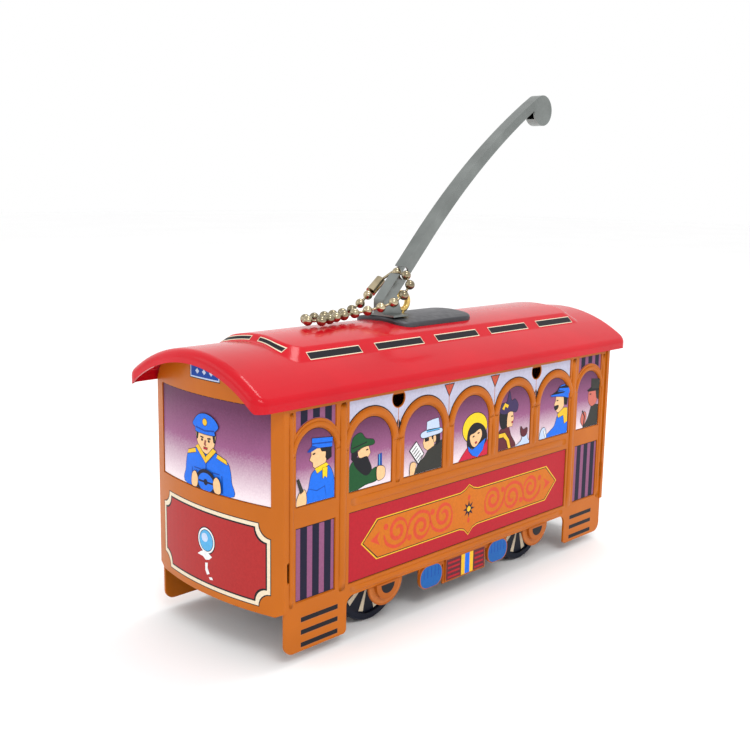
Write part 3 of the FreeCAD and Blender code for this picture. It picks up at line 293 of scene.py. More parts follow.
def route_line(points):
    """Points along the smooth line of the chain, as Blender evaluates its spline."""
    curve = bpy.data.curves.new("route", "CURVE")
    curve.dimensions = "3D"
    spline = curve.splines.new("NURBS")
    spline.points.add(len(points) - 1)
    for control, point in zip(spline.points, points):
        control.co = (*point, 1)
    spline.order_u = 3
    spline.use_endpoint_u = True
    spline.resolution_u = 24
    line = bpy.data.objects.new("route", curve)
    bpy.context.collection.objects.link(line)
    bpy.context.view_layer.update()
    mesh = bpy.data.meshes.new_from_object(line)
    along = [vertex.co.copy() for vertex in mesh.vertices]
    bpy.data.objects.remove(line)
    bpy.data.meshes.remove(mesh)
    return along


def lengths_along(line):
    total = [0.0]
    for before, after in zip(line, line[1:]):
        total.append(total[-1] + (after - before).length)
    return total


def point_at(line, total, distance):
    for index in range(1, len(line)):
        if total[index] >= distance:
            part_way = (distance - total[index - 1]) / (total[index] - total[index - 1])
            return line[index - 1].lerp(line[index], part_way)
    return line[-1]


def add_mesh(name, mesh_builder, materials, body):
    """Turn a bmesh into a piece that rides on a body."""
    mesh = bpy.data.meshes.new(name)
    mesh_builder.to_mesh(mesh)
    mesh_builder.free()
    piece = bpy.data.objects.new(name, mesh)
    bpy.context.collection.objects.link(piece)
    for material in materials:
        mesh.materials.append(material)
    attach(piece, body)
    return piece


def make_chain():
    line = route_line(CHAIN_ROUTE)
    total = lengths_along(line)
    beads = int((total[-1] - 2 * BEAD_RADIUS) / BEAD_PITCH) + 1
    pitch = (total[-1] - 2 * BEAD_RADIUS) / (beads - 1)
    builder = bmesh.new()
    centres = [point_at(line, total, BEAD_RADIUS + pitch * number) for number in range(beads)]
    for centre in centres:
        bmesh.ops.create_uvsphere(
            builder, u_segments=20, v_segments=14, radius=BEAD_RADIUS,
            matrix=Matrix.Translation(centre),
        )
    for before, after in zip(centres, centres[1:]):
        turn = (after - before).to_track_quat("Z", "Y").to_matrix().to_4x4()
        bmesh.ops.create_cone(
            builder, cap_ends=True, segments=8, radius1=LINK_RADIUS, radius2=LINK_RADIUS,
            depth=(after - before).length, matrix=Matrix.Translation((before + after) / 2) @ turn,
        )
    for face in builder.faces:
        face.smooth = True
    chain = add_mesh("bead_chain", builder, [chain_metal], "tram")
    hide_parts("ball_chain")


make_chain()


# ---------------------------------------------------------------- outlines

def ellipse(u, v, across, up, points=28):
    turns = [2 * math.pi * number / points for number in range(points)]
    return [(u + across * math.cos(turn), v + up * math.sin(turn)) for turn in turns]


def between(a, b, c, d, t):
    """The point at t between b and c on a soft line through all four."""
    return tuple(
        0.5 * (2 * b[k] + (c[k] - a[k]) * t + (2 * a[k] - 5 * b[k] + 4 * c[k] - d[k]) * t**2
               + (3 * b[k] - a[k] - 3 * c[k] + d[k]) * t**3)
        for k in (0, 1)
    )


def smooth(corners, steps=5):
    """A closed soft outline through the corners."""
    count = len(corners)
    outline = []
    for index in range(count):
        a, b, c, d = (corners[(index + shift) % count] for shift in (-1, 0, 1, 2))
        outline += [between(a, b, c, d, step / steps) for step in range(steps)]
    return outline


def box(left, bottom, right, top):
    return [(left, bottom), (right, bottom), (right, top), (left, top)]


def round_box(left, bottom, right, top, corner):
    """A box with rounded corners."""
    outline = []
    corners = ((right, top, 0), (left, top, 1), (left, bottom, 2), (right, bottom, 3))
    for u, v, quarter in corners:
        middle_u = u + math.copysign(corner, (left + right) / 2 - u)
        middle_v = v + math.copysign(corner, (bottom + top) / 2 - v)
        for number in range(7):
            turn = math.pi / 2 * (quarter + number / 6)
            outline.append((middle_u + corner * math.cos(turn), middle_v + corner * math.sin(turn)))
    return outline


def arch(u, bottom, half_width, top):
    """A window with a round head."""
    spring = top - half_width
    head = [math.pi * number / 20 for number in range(21)]
    curve = [(u + half_width * math.cos(turn), spring + half_width * math.sin(turn)) for turn in head]
    return [(u - half_width, bottom), (u + half_width, bottom)] + curve


def stroke(line, width):
    """A ribbon of even width, tapering at its ends, along a line of points."""
    left, right = [], []
    last = len(line) - 1
    for index, (u, v) in enumerate(line):
        before, after = line[max(index - 1, 0)], line[min(index + 1, last)]
        along = Vector((after[0] - before[0], after[1] - before[1])).normalized()
        taper = 1.0 if last < 3 else min(1.0, 0.35 + 3.2 * min(index, last - index) / last)
        half = width / 2 * taper
        left.append((u - along.y * half, v + along.x * half))
        right.append((u + along.y * half, v - along.x * half))
    return left + right[::-1]


def smooth_line(corners, steps=5):
    """A soft open line through the corners."""
    held = [corners[0]] + corners + [corners[-1]]
    line = []
    for a, b, c, d in zip(held, held[1:], held[2:], held[3:]):
        line += [between(a, b, c, d, step / steps) for step in range(steps)]
    return line + [corners[-1]]


def spiral(u, v, start_radius, end_radius, start, turns, points=30):
    """A scroll's line round (u, v); start and turns are in full turns, negative for clockwise."""
    line = []
    for number in range(points + 1):
        part_way = number / points
        radius = start_radius + (end_radius - start_radius) * part_way
        angle = 2 * math.pi * (start + turns * part_way)
        line.append((u + radius * math.cos(angle), v + radius * math.sin(angle)))
    return line


def shifted(outline, u, v):
    return [(a + u, b + v) for a, b in outline]


def grown(outline, amount):
    """The outline moved outwards by an amount, along its corners' own directions."""
    ring = outline + [outline[0]]
    area = sum(a[0] * b[1] - b[0] * a[1] for a, b in zip(ring, ring[1:]))
    way = amount if area > 0 else -amount
    result = []
    for index, point in enumerate(outline):
        before, after = Vector(outline[index - 1]), Vector(outline[(index + 1) % len(outline)])
        along = (after - before).normalized()
        result.append((point[0] + along.y * way, point[1] - along.x * way))
    return result


def inked(draw_patch):
    """A figure's patches, each with the fine dark line of the print round it."""
    def draw_both(outline, colour):
        if colour not in ("black", "charcoal", "deep_blue", "navy"):
            draw_patch(grown(outline, 0.13), "black")
        draw_patch(outline, colour)
    return draw_both


# ---------------------------------------------------------------- printing on the tin

surfaces = {}


def surface_of(node):
    """The CAD node's surface, ready to be projected on."""
    if node not in surfaces:
        builder = bmesh.new()
        builder.from_mesh(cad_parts[node].data)
        surfaces[node] = BVHTree.FromBMesh(builder)
        builder.free()
    return surfaces[node]


class Print:
    """Artwork on one CAD surface: layers of flat ink, each a thin closed slab lying on the tin."""

    def __init__(
        self, name, node, to_space, direction, body="tram", slot="orange_litho", step=None, hole=None
    ):
        self.name, self.node, self.body, self.slot = name, node, body, slot
        self.to_space, self.direction = to_space, Vector(direction)
        self.step, self.hole = step, hole
        self.builder = bmesh.new()
        self.materials = []
        self.layer = 0

    def add(self, outline, material, layer=None):
        """One patch of ink; later patches lie on earlier ones."""
        if layer is None:
            self.layer += 1
            layer = self.layer
        self.layer = max(self.layer, layer)
        if material not in self.materials:
            self.materials.append(material)
        flat = bmesh.new()
        corners = [flat.verts.new((u, v, 0)) for u, v in outline]
        for triangle in tessellate_polygon([[Vector((u, v, 0)) for u, v in outline]]):
            flat.faces.new([corners[index] for index in triangle])
        if self.step:
            self.slice(flat, outline)
        if self.hole:
            self.punch(flat, outline)
        self.lay(flat, layer, self.materials.index(material))
        flat.free()

    def slice(self, flat, outline):
        """Cut the patch into strips, so that it can follow a bend."""
        for axis in (0, 1):
            low = min(point[axis] for point in outline)
            high = max(point[axis] for point in outline)
            cut = math.floor(low / self.step) * self.step + self.step
            normal = (1, 0, 0) if axis == 0 else (0, 1, 0)
            while cut < high:
                geometry = flat.verts[:] + flat.edges[:] + flat.faces[:]
                place = tuple(part * cut for part in normal)
                bmesh.ops.bisect_plane(flat, geom=geometry, plane_co=place, plane_no=normal)
                cut += self.step

    def punch(self, flat, outline):
        """Leave out what lies over a round hole in the tin."""
        centre, radius = Vector((*self.hole[:2], 0)), self.hole[2]
        for axis in (0, 1):
            reach = [point[axis] for point in outline]
            if max(reach) < centre[axis] - radius or min(reach) > centre[axis] + radius:
                return
        sides = 24
        for number in range(sides):
            turn = 2 * math.pi * number / sides
            outwards = Vector((math.cos(turn), math.sin(turn), 0))
            geometry = flat.verts[:] + flat.edges[:] + flat.faces[:]
            bmesh.ops.bisect_plane(
                flat, geom=geometry, plane_co=centre + outwards * radius, plane_no=outwards
            )
        inside = [
            face for face in flat.faces if (face.calc_center_median() - centre).length < radius
        ]
        bmesh.ops.delete(flat, geom=inside, context="FACES")

    def lay(self, flat, layer, material_index):
        tree = surface_of(self.node)
        tops, bottoms = {}, {}
        for vertex in flat.verts:
            start = Vector(self.to_space(vertex.co.x, vertex.co.y)) * MM - self.direction * 0.05
            hit, normal, _, _ = tree.ray_cast(start, self.direction)
            if hit is None:
                raise ValueError(f"{self.name} misses {self.node}")
            if normal.dot(self.direction) > 0:
                normal = -normal
            tops[vertex] = self.builder.verts.new(hit + normal * INK * MM * (layer + 0.5))
            bottoms[vertex] = self.builder.verts.new(hit + normal * INK * MM * (layer - 0.6))
        for face in flat.faces:
            ring = list(face.verts)
            self.face([tops[vertex] for vertex in ring], material_index)
            self.face([bottoms[vertex] for vertex in reversed(ring)], material_index)
        for edge in flat.edges:
            if len(edge.link_faces) == 1:
                a, b = edge.verts
                self.face([tops[a], tops[b], bottoms[b], bottoms[a]], material_index)

    def face(self, ring, material_index):
        self.builder.faces.new(ring).material_index = material_index

    def finish(self):
        bmesh.ops.recalc_face_normals(self.builder, faces=self.builder.faces[:])
        return add_mesh(self.name, self.builder, self.materials, self.body)


# ---------------------------------------------------------------- people in the windows

def conductor(art):
    """Blue cap and jacket with gold collar, looking left, a lever in the hand."""
    art(smooth([
        (-2.8, 0), (-1.9, 3.6), (-1.2, 6.2), (0.2, 7.2), (3.3, 7.6), (4.9, 5.6), (5.5, 2.5),
        (5.5, 0),
    ]), "blue")
    art(stroke([(-2.0, 3.4), (0.4, 2.6), (2.6, 3.2), (3.0, 1.0)], 0.22), "deep_blue")
    art([
        (-1.3, 11.9), (2.6, 11.9), (3.0, 9.0), (2.4, 7.4), (0.2, 7.3), (-0.7, 7.9), (-0.8, 8.8),
        (-1.7, 9.5), (-1.2, 10.4),
    ], "skin")
    art([(-0.2, 7.4), (3.0, 8.2), (3.6, 7.6), (0.4, 6.3)], "yellow")
    art([(1.9, 7.2), (3.3, 7.2), (3.2, 4.9), (2.6, 5.4), (2.0, 4.9)], "yellow")
    art([(1.0, 12.0), (4.4, 11.8), (4.5, 9.2), (3.2, 8.6), (2.7, 9.4), (2.9, 10.6), (1.6, 10.8)], "black")
    art([(-1.1, 14.0), (4.7, 13.4), (4.6, 11.4), (-1.1, 11.9)], "blue")
    art([(-1.1, 13.0), (4.7, 12.5), (4.7, 12.2), (-1.1, 12.7)], "deep_blue")
    art([(-2.5, 11.3), (-1.0, 12.5), (0.7, 11.8), (-1.6, 11.1)], "deep_blue")
    art(stroke([(-0.9, 10.6), (-0.2, 10.7)], 0.3), "black")
    art(smooth([(-5.4, 0.1), (-5.2, 1.8), (-4.2, 3.3), (-2.9, 3.1), (-2.8, 0.1)]), "skin")
    art([(-5.4, 5.9), (-4.7, 6.1), (-3.4, 3.2), (-4.3, 2.7)], "charcoal")


def bearded_reader(art):
    """Green cap and coat, black beard, looking right, a small blue book."""
    art(smooth([
        (-6.7, 0.0), (-6.7, 4.6), (-5.4, 6.8), (-3.0, 5.0), (-0.6, 3.8), (2.0, 4.3), (2.2, 1.5),
        (-1.6, 1.0),
    ]), "green")
    art([(-4.2, 8.6), (-2.2, 9.8), (-0.7, 9.6), (-0.1, 8.0), (-0.8, 7.2), (-3.2, 6.8)], "skin")
    art(smooth([
        (-4.2, 7.6), (-3.0, 7.3), (-1.2, 7.4), (-0.5, 6.4), (0.4, 4.2), (-1.2, 3.0), (-3.6, 4.4),
        (-5.2, 6.4),
    ]), "black")
    art([(-5.9, 9.3), (-4.2, 9.8), (-3.9, 8.2), (-5.0, 6.4), (-6.0, 7.4)], "black")
    art(smooth([
        (-6.0, 9.0), (-5.7, 11.6), (-4.6, 12.6), (-3.0, 12.8), (-1.6, 11.4), (0.7, 10.8),
        (0.9, 9.8), (-1.8, 9.7), (-4.2, 9.2),
    ]), "green")
    art(stroke([(-5.8, 9.8), (-3.4, 10.2), (-1.2, 10.6)], 0.25), "black")
    art(stroke([(-1.5, 8.8), (-0.8, 8.9)], 0.3), "black")
    art([(2.3, 7.1), (3.5, 7.4), (3.6, 3.6), (2.2, 3.6)], "deep_blue")
    art([(2.6, 7.1), (2.9, 7.2), (2.9, 3.6), (2.6, 3.6)], "sky")
    art(smooth([(2.0, 4.2), (3.4, 4.4), (4.5, 3.6), (4.3, 1.7), (2.2, 1.4)]), "skin")


def newspaper_reader(art):
    """Pale hat, dark coat and glasses, looking left at a newspaper."""
    art([(-3.2, 0.1), (-2.0, 2.4), (0.4, 4.0), (1.6, 5.4), (4.2, 6.4), (6.7, 7.0), (6.7, 0.1)], "charcoal")
    art([(0.3, 8.8), (3.4, 8.8), (3.7, 6.0), (1.4, 5.2), (0.2, 6.0), (-0.2, 7.2)], "skin")
    art([(2.5, 9.0), (5.7, 9.0), (5.9, 6.6), (4.5, 5.9), (3.8, 7.4), (2.9, 7.6)], "black")
    art([(0.2, 8.2), (1.9, 8.2), (1.8, 7.4), (0.5, 7.3)], "black")
    art(smooth([(3.4, 8.2), (4.2, 8.2), (4.2, 7.0), (3.6, 6.9)]), "skin")
    art([(1.0, 12.0), (3.0, 12.3), (5.0, 12.4), (5.6, 9.6), (0.9, 9.7)], "pale_blue")
    art(smooth([
        (-1.1, 9.4), (0.9, 10.0), (5.0, 9.9), (6.3, 9.7), (6.2, 8.8), (3.0, 8.5), (-0.4, 8.4),
    ]), "pale_blue")
    art([(0.9, 9.9), (5.5, 9.9), (5.5, 9.6), (0.9, 9.6)], "sky")
    art([(-5.0, 6.1), (-2.6, 8.1), (0.2, 4.7), (-1.8, 2.2)], "black")
    art([(-4.7, 6.1), (-2.6, 7.8), (-0.1, 4.7), (-1.8, 2.7)], "white")
    for row in range(5):
        art([(-4.1 + row * 0.5, 5.8 - row * 0.62), (-2.6 + row * 0.5, 7.0 - row * 0.62),
             (-2.5 + row * 0.5, 6.8 - row * 0.62), (-4.0 + row * 0.5, 5.6 - row * 0.62)], "charcoal")
    art(smooth([(-4.6, 0.3), (-4.4, 3.0), (-2.7, 2.8), (-3.4, 0.3)]), "skin")


def girl_in_bonnet(art):
    """Yellow bonnet, black hair, blue scarf and crimson dress, facing out."""
    art(ellipse(1.4, 7.8, 4.9, 3.9), "black")
    art(ellipse(1.4, 7.8, 4.7, 3.7), "yellow")
    art([
        (-4.7, 0.1), (-3.2, 1.6), (-1.4, 3.2), (1.2, 1.0), (2.6, 0.4), (4.8, 2.6), (6.6, 4.2),
        (6.7, 0.1),
    ], "crimson")
    art(smooth([
        (-1.5, 3.6), (-1.3, 7.2), (0.6, 8.9), (3.0, 8.8), (5.2, 7.4), (6.3, 5.0), (5.4, 3.2),
        (3, 2.6), (0, 2.8),
    ]), "black")
    art(smooth([
        (-0.5, 6.0), (1.2, 6.5), (3.4, 7.2), (4.1, 5.6), (3.0, 3.9), (1.4, 3.0), (0.0, 4.0),
    ]), "skin")
    art([
        (-1.2, 3.6), (0.4, 2.4), (1.8, 2.9), (3.4, 3.6), (5.6, 4.6), (4.6, 1.8), (2.6, 0.2),
        (0.6, 1.0), (-0.9, 2.4),
    ], "blue")
    art(stroke([(0.5, 5.6), (1.2, 5.8)], 0.35), "black")
    art(stroke([(2.4, 6.2), (3.1, 6.4)], 0.35), "black")
    art(stroke([(1.5, 4.0), (2.2, 4.1)], 0.3), "crimson")


def lady_in_plumes(art):
    """Dark plumed hat and coat with yellow trim, looking right, a small pale dog."""
    art(smooth([(-6.7, 0.1), (-6.7, 4.6), (-5.0, 5.9), (-2.6, 5.9), (-1.4, 3.6), (0.5, 0.3)]), "maroon")
    art([(-3.4, 10.0), (-0.9, 9.8), (-0.5, 7.8), (-1.0, 5.9), (-3.0, 5.9), (-3.6, 7.6)], "skin")
    art(smooth([(-6.3, 9.8), (-3.2, 10.0), (-3.2, 7.8), (-3.4, 6.0), (-5.2, 5.7), (-6.2, 7.2)]), "black")
    art(smooth([
        (-6.4, 10.2), (-5.6, 12.2), (-3.6, 12.4), (-2.6, 15.0), (-1.6, 12.6), (-0.2, 12.8),
        (1.2, 11.2), (0.5, 9.5), (-2.0, 9.9), (-4.0, 9.4),
    ]), "violet")
    art([(-5.4, 11.0), (-4.4, 12.3), (-2.8, 11.6), (-3.2, 10.9), (-4.2, 11.4), (-4.7, 10.5)], "gold")
    art([
        (-6.5, 4.6), (-4.0, 4.6), (-2.2, 2.6), (-1.4, 0.3), (-2.4, 0.2), (-3.2, 2.4), (-4.6, 3.6),
        (-6.5, 3.6),
    ], "gold")
    art(stroke([(-1.6, 8.5), (-0.9, 8.5)], 0.3), "black")
    art(stroke([(-1.3, 6.9), (-0.8, 7.0)], 0.3), "crimson")
    art(smooth([
        (0.9, 0.2), (3.0, 1.5), (3.8, 3.2), (5.2, 3.4), (5.8, 1.6), (6.6, 0.8), (6.4, 0.1),
    ]), "pale_blue")
    art(smooth([(2.8, 3.2), (2.7, 5.2), (3.8, 4.2), (5.4, 4.5), (5.3, 3.0), (4.0, 2.4)]), "maroon")


def man_in_blue_cap(art):
    """Blue cap with a gold badge, moustache, gold collar, looking left."""
    art(smooth([
        (-4.2, 0.2), (-1.8, 1.7), (0.4, 3.0), (1.6, 5.4), (3.2, 6.2), (6.7, 5.4), (6.7, 0.7),
        (3, 0.1),
    ]), "blue")
    art([
        (0.8, 11.2), (4.2, 10.8), (4.5, 8.0), (3.2, 6.2), (1.4, 6.6), (0.5, 7.8), (0.0, 8.9),
        (0.5, 9.6),
    ], "skin")
    art([(4.0, 10.7), (6.3, 10.2), (6.0, 8.0), (4.7, 8.2), (4.5, 9.4)], "black")
    art(smooth([(-0.1, 8.3), (1.9, 8.5), (1.8, 7.6), (0.6, 7.2)]), "black")
    art([(1.6, 6.0), (4.6, 7.4), (6.2, 7.2), (6.4, 3.4), (5.0, 3.0), (4.4, 5.4), (2.0, 5.0)], "gold")
    art(smooth([
        (-1.9, 11.4), (0.8, 12.3), (2.2, 13.5), (4.6, 13.7), (6.7, 11.9), (6.7, 10.0), (4.2, 10.5),
        (0.8, 11.0),
    ]), "blue")
    art(ellipse(3.2, 12.4, 0.8, 0.9, 12), "gold")
    art(stroke([(0.9, 9.8), (1.7, 9.8)], 0.3), "black")
    art(smooth([(-6.2, 0.3), (-5.9, 2.4), (-4.6, 3.3), (-3.6, 2.4), (-3.4, 0.3)]), "pale_blue")
    art(stroke([(-4.4, 2.6), (-3.6, 0.6)], 0.5), "white")


def man_in_top_hat(art):
    """Black top hat and coat, looking left, a hand on a cane."""
    art([(-1.8, 0.1), (0.4, 3.0), (1.6, 5.8), (3.4, 6.4), (5.5, 6.0), (5.5, 0.1)], "charcoal")
    art(smooth([(0.6, 10.6), (4.0, 10.4), (4.4, 7.0), (2.2, 5.9), (0.7, 6.8), (0.1, 8.4)]), "ruddy")
    art([(3.6, 10.6), (5.5, 10.4), (5.5, 7.4), (4.2, 8.0)], "charcoal")
    art([(1.2, 13.8), (5.3, 13.3), (5.5, 10.4), (1.3, 10.9)], "charcoal")
    art([(-0.7, 10.6), (1.3, 11.4), (5.5, 10.8), (5.5, 10.0), (0, 10.2)], "black")
    art(stroke([(0.7, 9.4), (1.5, 9.4)], 0.3), "black")
    art(smooth([(-3.2, 2.6), (-2.6, 4.4), (-1.1, 4.6), (-0.5, 3.0), (-1.6, 0.9), (-2.6, 1.4)]), "ruddy")
    art(stroke([(-2.6, 5.2), (-1.4, 3.4), (-1.8, 0.3)], 0.5), "black")


def uniformed_figure(art, with_wheel):
    """The driver, or the same uniform at the rear without the steering wheel."""
    jacket = [
        (-7.4, 0.2), (-7.8, 3.6), (-7.0, 7.0), (-5.6, 8.0), (-3.0, 9.0), (3.0, 9.0), (5.6, 8.0),
        (7.4, 7.0), (8.1, 3.6), (7.8, 0.2),
    ]
    art(smooth(jacket), "blue")
    for side in (-1, 1):
        art([(side * 7.0, 7.1), (side * 6.6, 8.0), (side * 3.9, 8.8), (side * 3.6, 8.0)], "gold")
        art(stroke([(side * 5.4, 0.6), (side * 5.2, 4.4)], 0.22), "deep_blue")
        inner, outer = sorted((side * 2.0, side * 4.4))
        art(box(inner, 4.4, outer, 4.65), "deep_blue")
    art(box(-0.12, 0.4, 0.12, 7.2), "deep_blue")
    art(smooth([
        (-2.9, 13.2), (2.9, 13.2), (3.0, 10.8), (2.0, 9.3), (0.2, 8.3), (-1.7, 9.2), (-3.0, 10.8),
    ]), "skin")
    for side in (-1, 1):
        art([(side * 2.3, 13.2), (side * 3.3, 13.2), (side * 3.2, 11.0), (side * 2.7, 11.2)], "black")
        art([(side * 3.6, 9.4), (side * 2.6, 9.9), (0.0, 7.6), (0.0, 6.2)], "gold")
        art(stroke([(side * 0.7, 11.7), (side * 1.8, 11.8)], 0.3), "black")
        art(ellipse(side * 1.2, 11.2, 0.35, 0.28, 10), "black")
    art(stroke([(0.1, 11.2), (-0.3, 10.3), (0.2, 10.2)], 0.22), "ruddy")
    art(stroke([(-0.6, 9.5), (0.7, 9.5)], 0.28), "crimson")
    cap = [
        (-4.4, 14.4), (-2.4, 16.4), (0.2, 17.0), (2.8, 16.4), (4.4, 14.8), (3.2, 13.5),
        (2.9, 12.7), (-2.9, 12.7), (-3.4, 13.6),
    ]
    art(smooth(cap), "blue")
    art(stroke([(-3.2, 13.7), (0.0, 13.3), (3.2, 13.7)], 0.35), "deep_blue")
    art(ellipse(0.0, 15.2, 0.75, 0.75, 14), "gold")
    if with_wheel:
        art(ellipse(0.1, 2.0, 3.5, 2.9), "navy")
        art(ellipse(0.1, 2.0, 2.7, 2.1), "blue")
        art([(-2.4, 1.9), (2.6, 1.9), (2.6, 2.3), (-2.4, 2.3)], "navy")
        art(ellipse(0.1, 2.1, 0.7, 0.7, 14), "navy")
    for side in (-1, 1):
        art(smooth([
            (side * 5.0, 0.6), (side * 4.8, 3.0), (side * 3.6, 3.8), (side * 2.7, 2.4),
            (side * 3.2, 0.5),
        ]), "skin")


# ---------------------------------------------------------------- side panels

SIDE_FACE = 21.5
SILL = 34.0
MIDDLE_PITCH, MIDDLE_HALF = 17.45, 6.8
BAY_CENTRE, BAY_HALF = 51.2, 5.65
WINDOW_TOP = 50.2
EDGE = 0.12
KEY_HOLE = (-8.0, 24.0, 2.75)
passengers = [
    (-BAY_CENTRE, BAY_HALF, conductor), (-2 * MIDDLE_PITCH, MIDDLE_HALF, bearded_reader),
    (-MIDDLE_PITCH, MIDDLE_HALF, newspaper_reader), (0, MIDDLE_HALF, girl_in_bonnet),
    (MIDDLE_PITCH, MIDDLE_HALF, lady_in_plumes), (2 * MIDDLE_PITCH, MIDDLE_HALF, man_in_blue_cap),
    (BAY_CENTRE, BAY_HALF, man_in_top_hat),
]


def side_print(name, side, hole=None):
    """Artwork on a side panel: u runs to the right as one looks at that side."""
    node = "side_panel_right" if side > 0 else "side_panel_left"
    if side < 0 and not hole:
        hole = KEY_HOLE
    return Print(name, node, lambda u, v: (side * SIDE_FACE, side * u, v), (-side, 0, 0), hole=hole)


def make_windows(side, side_name):
    for number, (centre, half, figure) in enumerate(passengers, start=1):
        picture = side_print(f"{side_name}_window_{number}", side)
        picture.add(arch(centre, SILL + EDGE, half - EDGE, WINDOW_TOP - EDGE), ink["black"])
        inner = arch(centre, SILL + 2.2 * EDGE, half - 2.2 * EDGE, WINDOW_TOP - 2.2 * EDGE)
        picture.add(inner, side_dusk)
        figure(inked(lambda outline, colour: picture.add(
            clipped(shifted(outline, centre, SILL), centre, half - 2.4 * EDGE), ink[colour]
        )))
        picture.finish()


def clipped(outline, centre, half):
    """Keep a figure inside its window's straight sides and sill."""
    low = SILL + 2.4 * EDGE
    return [(min(max(u, centre - half), centre + half), max(v, low)) for u, v in outline]


PANEL_LOW, PANEL_HIGH, PANEL_END = 13.5, 29.6, 41.4
STRIPES_HALF, STRIPE = 5.5, 1.9


def stripe_starts(left):
    """Left edges of an end bay's three dark stripes."""
    return [left + 1.3 + 3.4 * number for number in range(3)]


def make_stripes(side, side_name):
    """Dark upright stripes in the end bays' lower panels."""
    for end in (-1, 1):
        art = side_print(f"{side_name}_stripes_{'front' if end < 0 else 'rear'}", side)
        left = end * BAY_CENTRE - STRIPES_HALF
        right = end * BAY_CENTRE + STRIPES_HALF
        low, high = PANEL_LOW + 0.1, PANEL_HIGH - 0.1
        art.add(box(left, low, right, high), ink["black"])
        art.add(box(left + 0.15, low + 0.15, right - 0.15, high - 0.15), ink["mauve"])
        for start in stripe_starts(left):
            art.add(box(start, low + 0.15, start + STRIPE, high - 0.15), ink["navy"], 3)
        art.finish()


SCROLL_LAYER = 6
PLAQUE_TIP, PLAQUE_SHOULDER = 37.5, 32.6
PLAQUE_MIDDLE, PLAQUE_TOP, PLAQUE_BOTTOM = 21.6, 26.4, 16.9


def plaque_outline(inset):
    """A long board with pointed ends and a small peak in the middle of each long edge."""
    tip, shoulder = PLAQUE_TIP - 1.6 * inset, PLAQUE_SHOULDER - inset
    top, bottom = PLAQUE_TOP - inset, PLAQUE_BOTTOM + inset
    return [
        (-tip, PLAQUE_MIDDLE), (-shoulder, bottom), (-3.4, bottom), (-1.6, bottom - 0.5),
        (0, bottom - 2.0), (1.6, bottom - 0.5), (3.4, bottom), (shoulder, bottom),
        (tip, PLAQUE_MIDDLE), (shoulder, top), (3.4, top), (1.6, top + 0.5),
        (0, top + 1.5), (-1.6, top + 0.5), (-3.4, top), (-shoulder, top),
    ]


def make_scrolls(art):
    """Curling tendrils either side of a small rosette."""
    middle = PLAQUE_MIDDLE
    for side in (-1, 1):
        for number, u in enumerate((9.6, 17.6, 25.6)):
            rise = 1 if number % 2 == 0 else -1
            start = 0.5 if side > 0 else 0.0
            curl = spiral(side * u, middle + 0.5 * rise, 3.1, 0.7, start, -side * rise * 1.4)
            art.add(stroke(curl, 1.0), ink["scroll_red"], SCROLL_LAYER)
            bud = ellipse(side * (u + 4.0), middle + 2.2 * rise, 0.75, 0.75, 14)
            art.add(bud, ink["scroll_red"], SCROLL_LAYER + 1)
            link = smooth_line([
                (side * (u - 3.3), middle + 0.8 * rise), (side * (u - 2.6), middle - 2.2 * rise),
                (side * (u + 0.6), middle - 3.2 * rise), (side * (u + 3.6), middle - 1.9 * rise),
                (side * (u + 4.6), middle + 0.4 * rise),
            ])
            art.add(stroke(link, 0.8), ink["scroll_red"], SCROLL_LAYER + 2)
        leaf = [(side * 31.4, middle + 1.7), (side * 34.6, middle), (side * 31.4, middle - 1.7),
                (side * 32.4, middle)]
        art.add(leaf, ink["scroll_red"], SCROLL_LAYER)
        art.add(ellipse(0, middle + side * 2.9, 0.5, 0.7, 12), ink["scroll_red"], SCROLL_LAYER)
    petals = []
    for number in range(16):
        turn = math.pi * number / 8
        reach = 2.2 if number % 2 == 0 else 0.99
        petals.append((reach * math.cos(turn), middle + reach * math.sin(turn)))
    art.add(petals, ink["navy"], SCROLL_LAYER)
    art.add(ellipse(0, middle, 0.7, 0.7, 14), ink["gold"], SCROLL_LAYER + 1)


def make_dado(side, side_name):
    art = side_print(f"{side_name}_lower_panel", side)
    for inset, colour in ((0.0, "black"), (0.15, "dado_red")):
        end = PANEL_END - inset
        art.add(box(-end, PANEL_LOW + inset, end, PANEL_HIGH - inset), ink[colour])
    for inset, colour in ((0.0, "gold"), (0.25, "black"), (0.45, "plaque")):
        art.add(plaque_outline(inset), ink[colour])
    make_scrolls(art)
    art.finish()


ARCH_SPRING = WINDOW_TOP - MIDDLE_HALF
ARCH_BAND = 2.0
SPANDREL_TOP = 54.2
SLOT_PLACE, SLOT_MIDDLE, SLOT_RADIUS = 1.5 * MIDDLE_PITCH, 52.9, 2.2
FIELD_END = 41.55


def arc_height(u, centre, spring, radius):
    return spring + math.sqrt(max(radius**2 - (u - centre) ** 2, 0.0))


def over_arch(left, right, centre, spring, radius):
    """The strip between an arch's band and the roof, from one place to another."""
    places = [left + (right - left) * number / 10 for number in range(11)]
    low = [(u, min(arc_height(u, centre, spring, radius), SPANDREL_TOP - 0.2)) for u in places]
    return low + [(right, SPANDREL_TOP), (left, SPANDREL_TOP)]


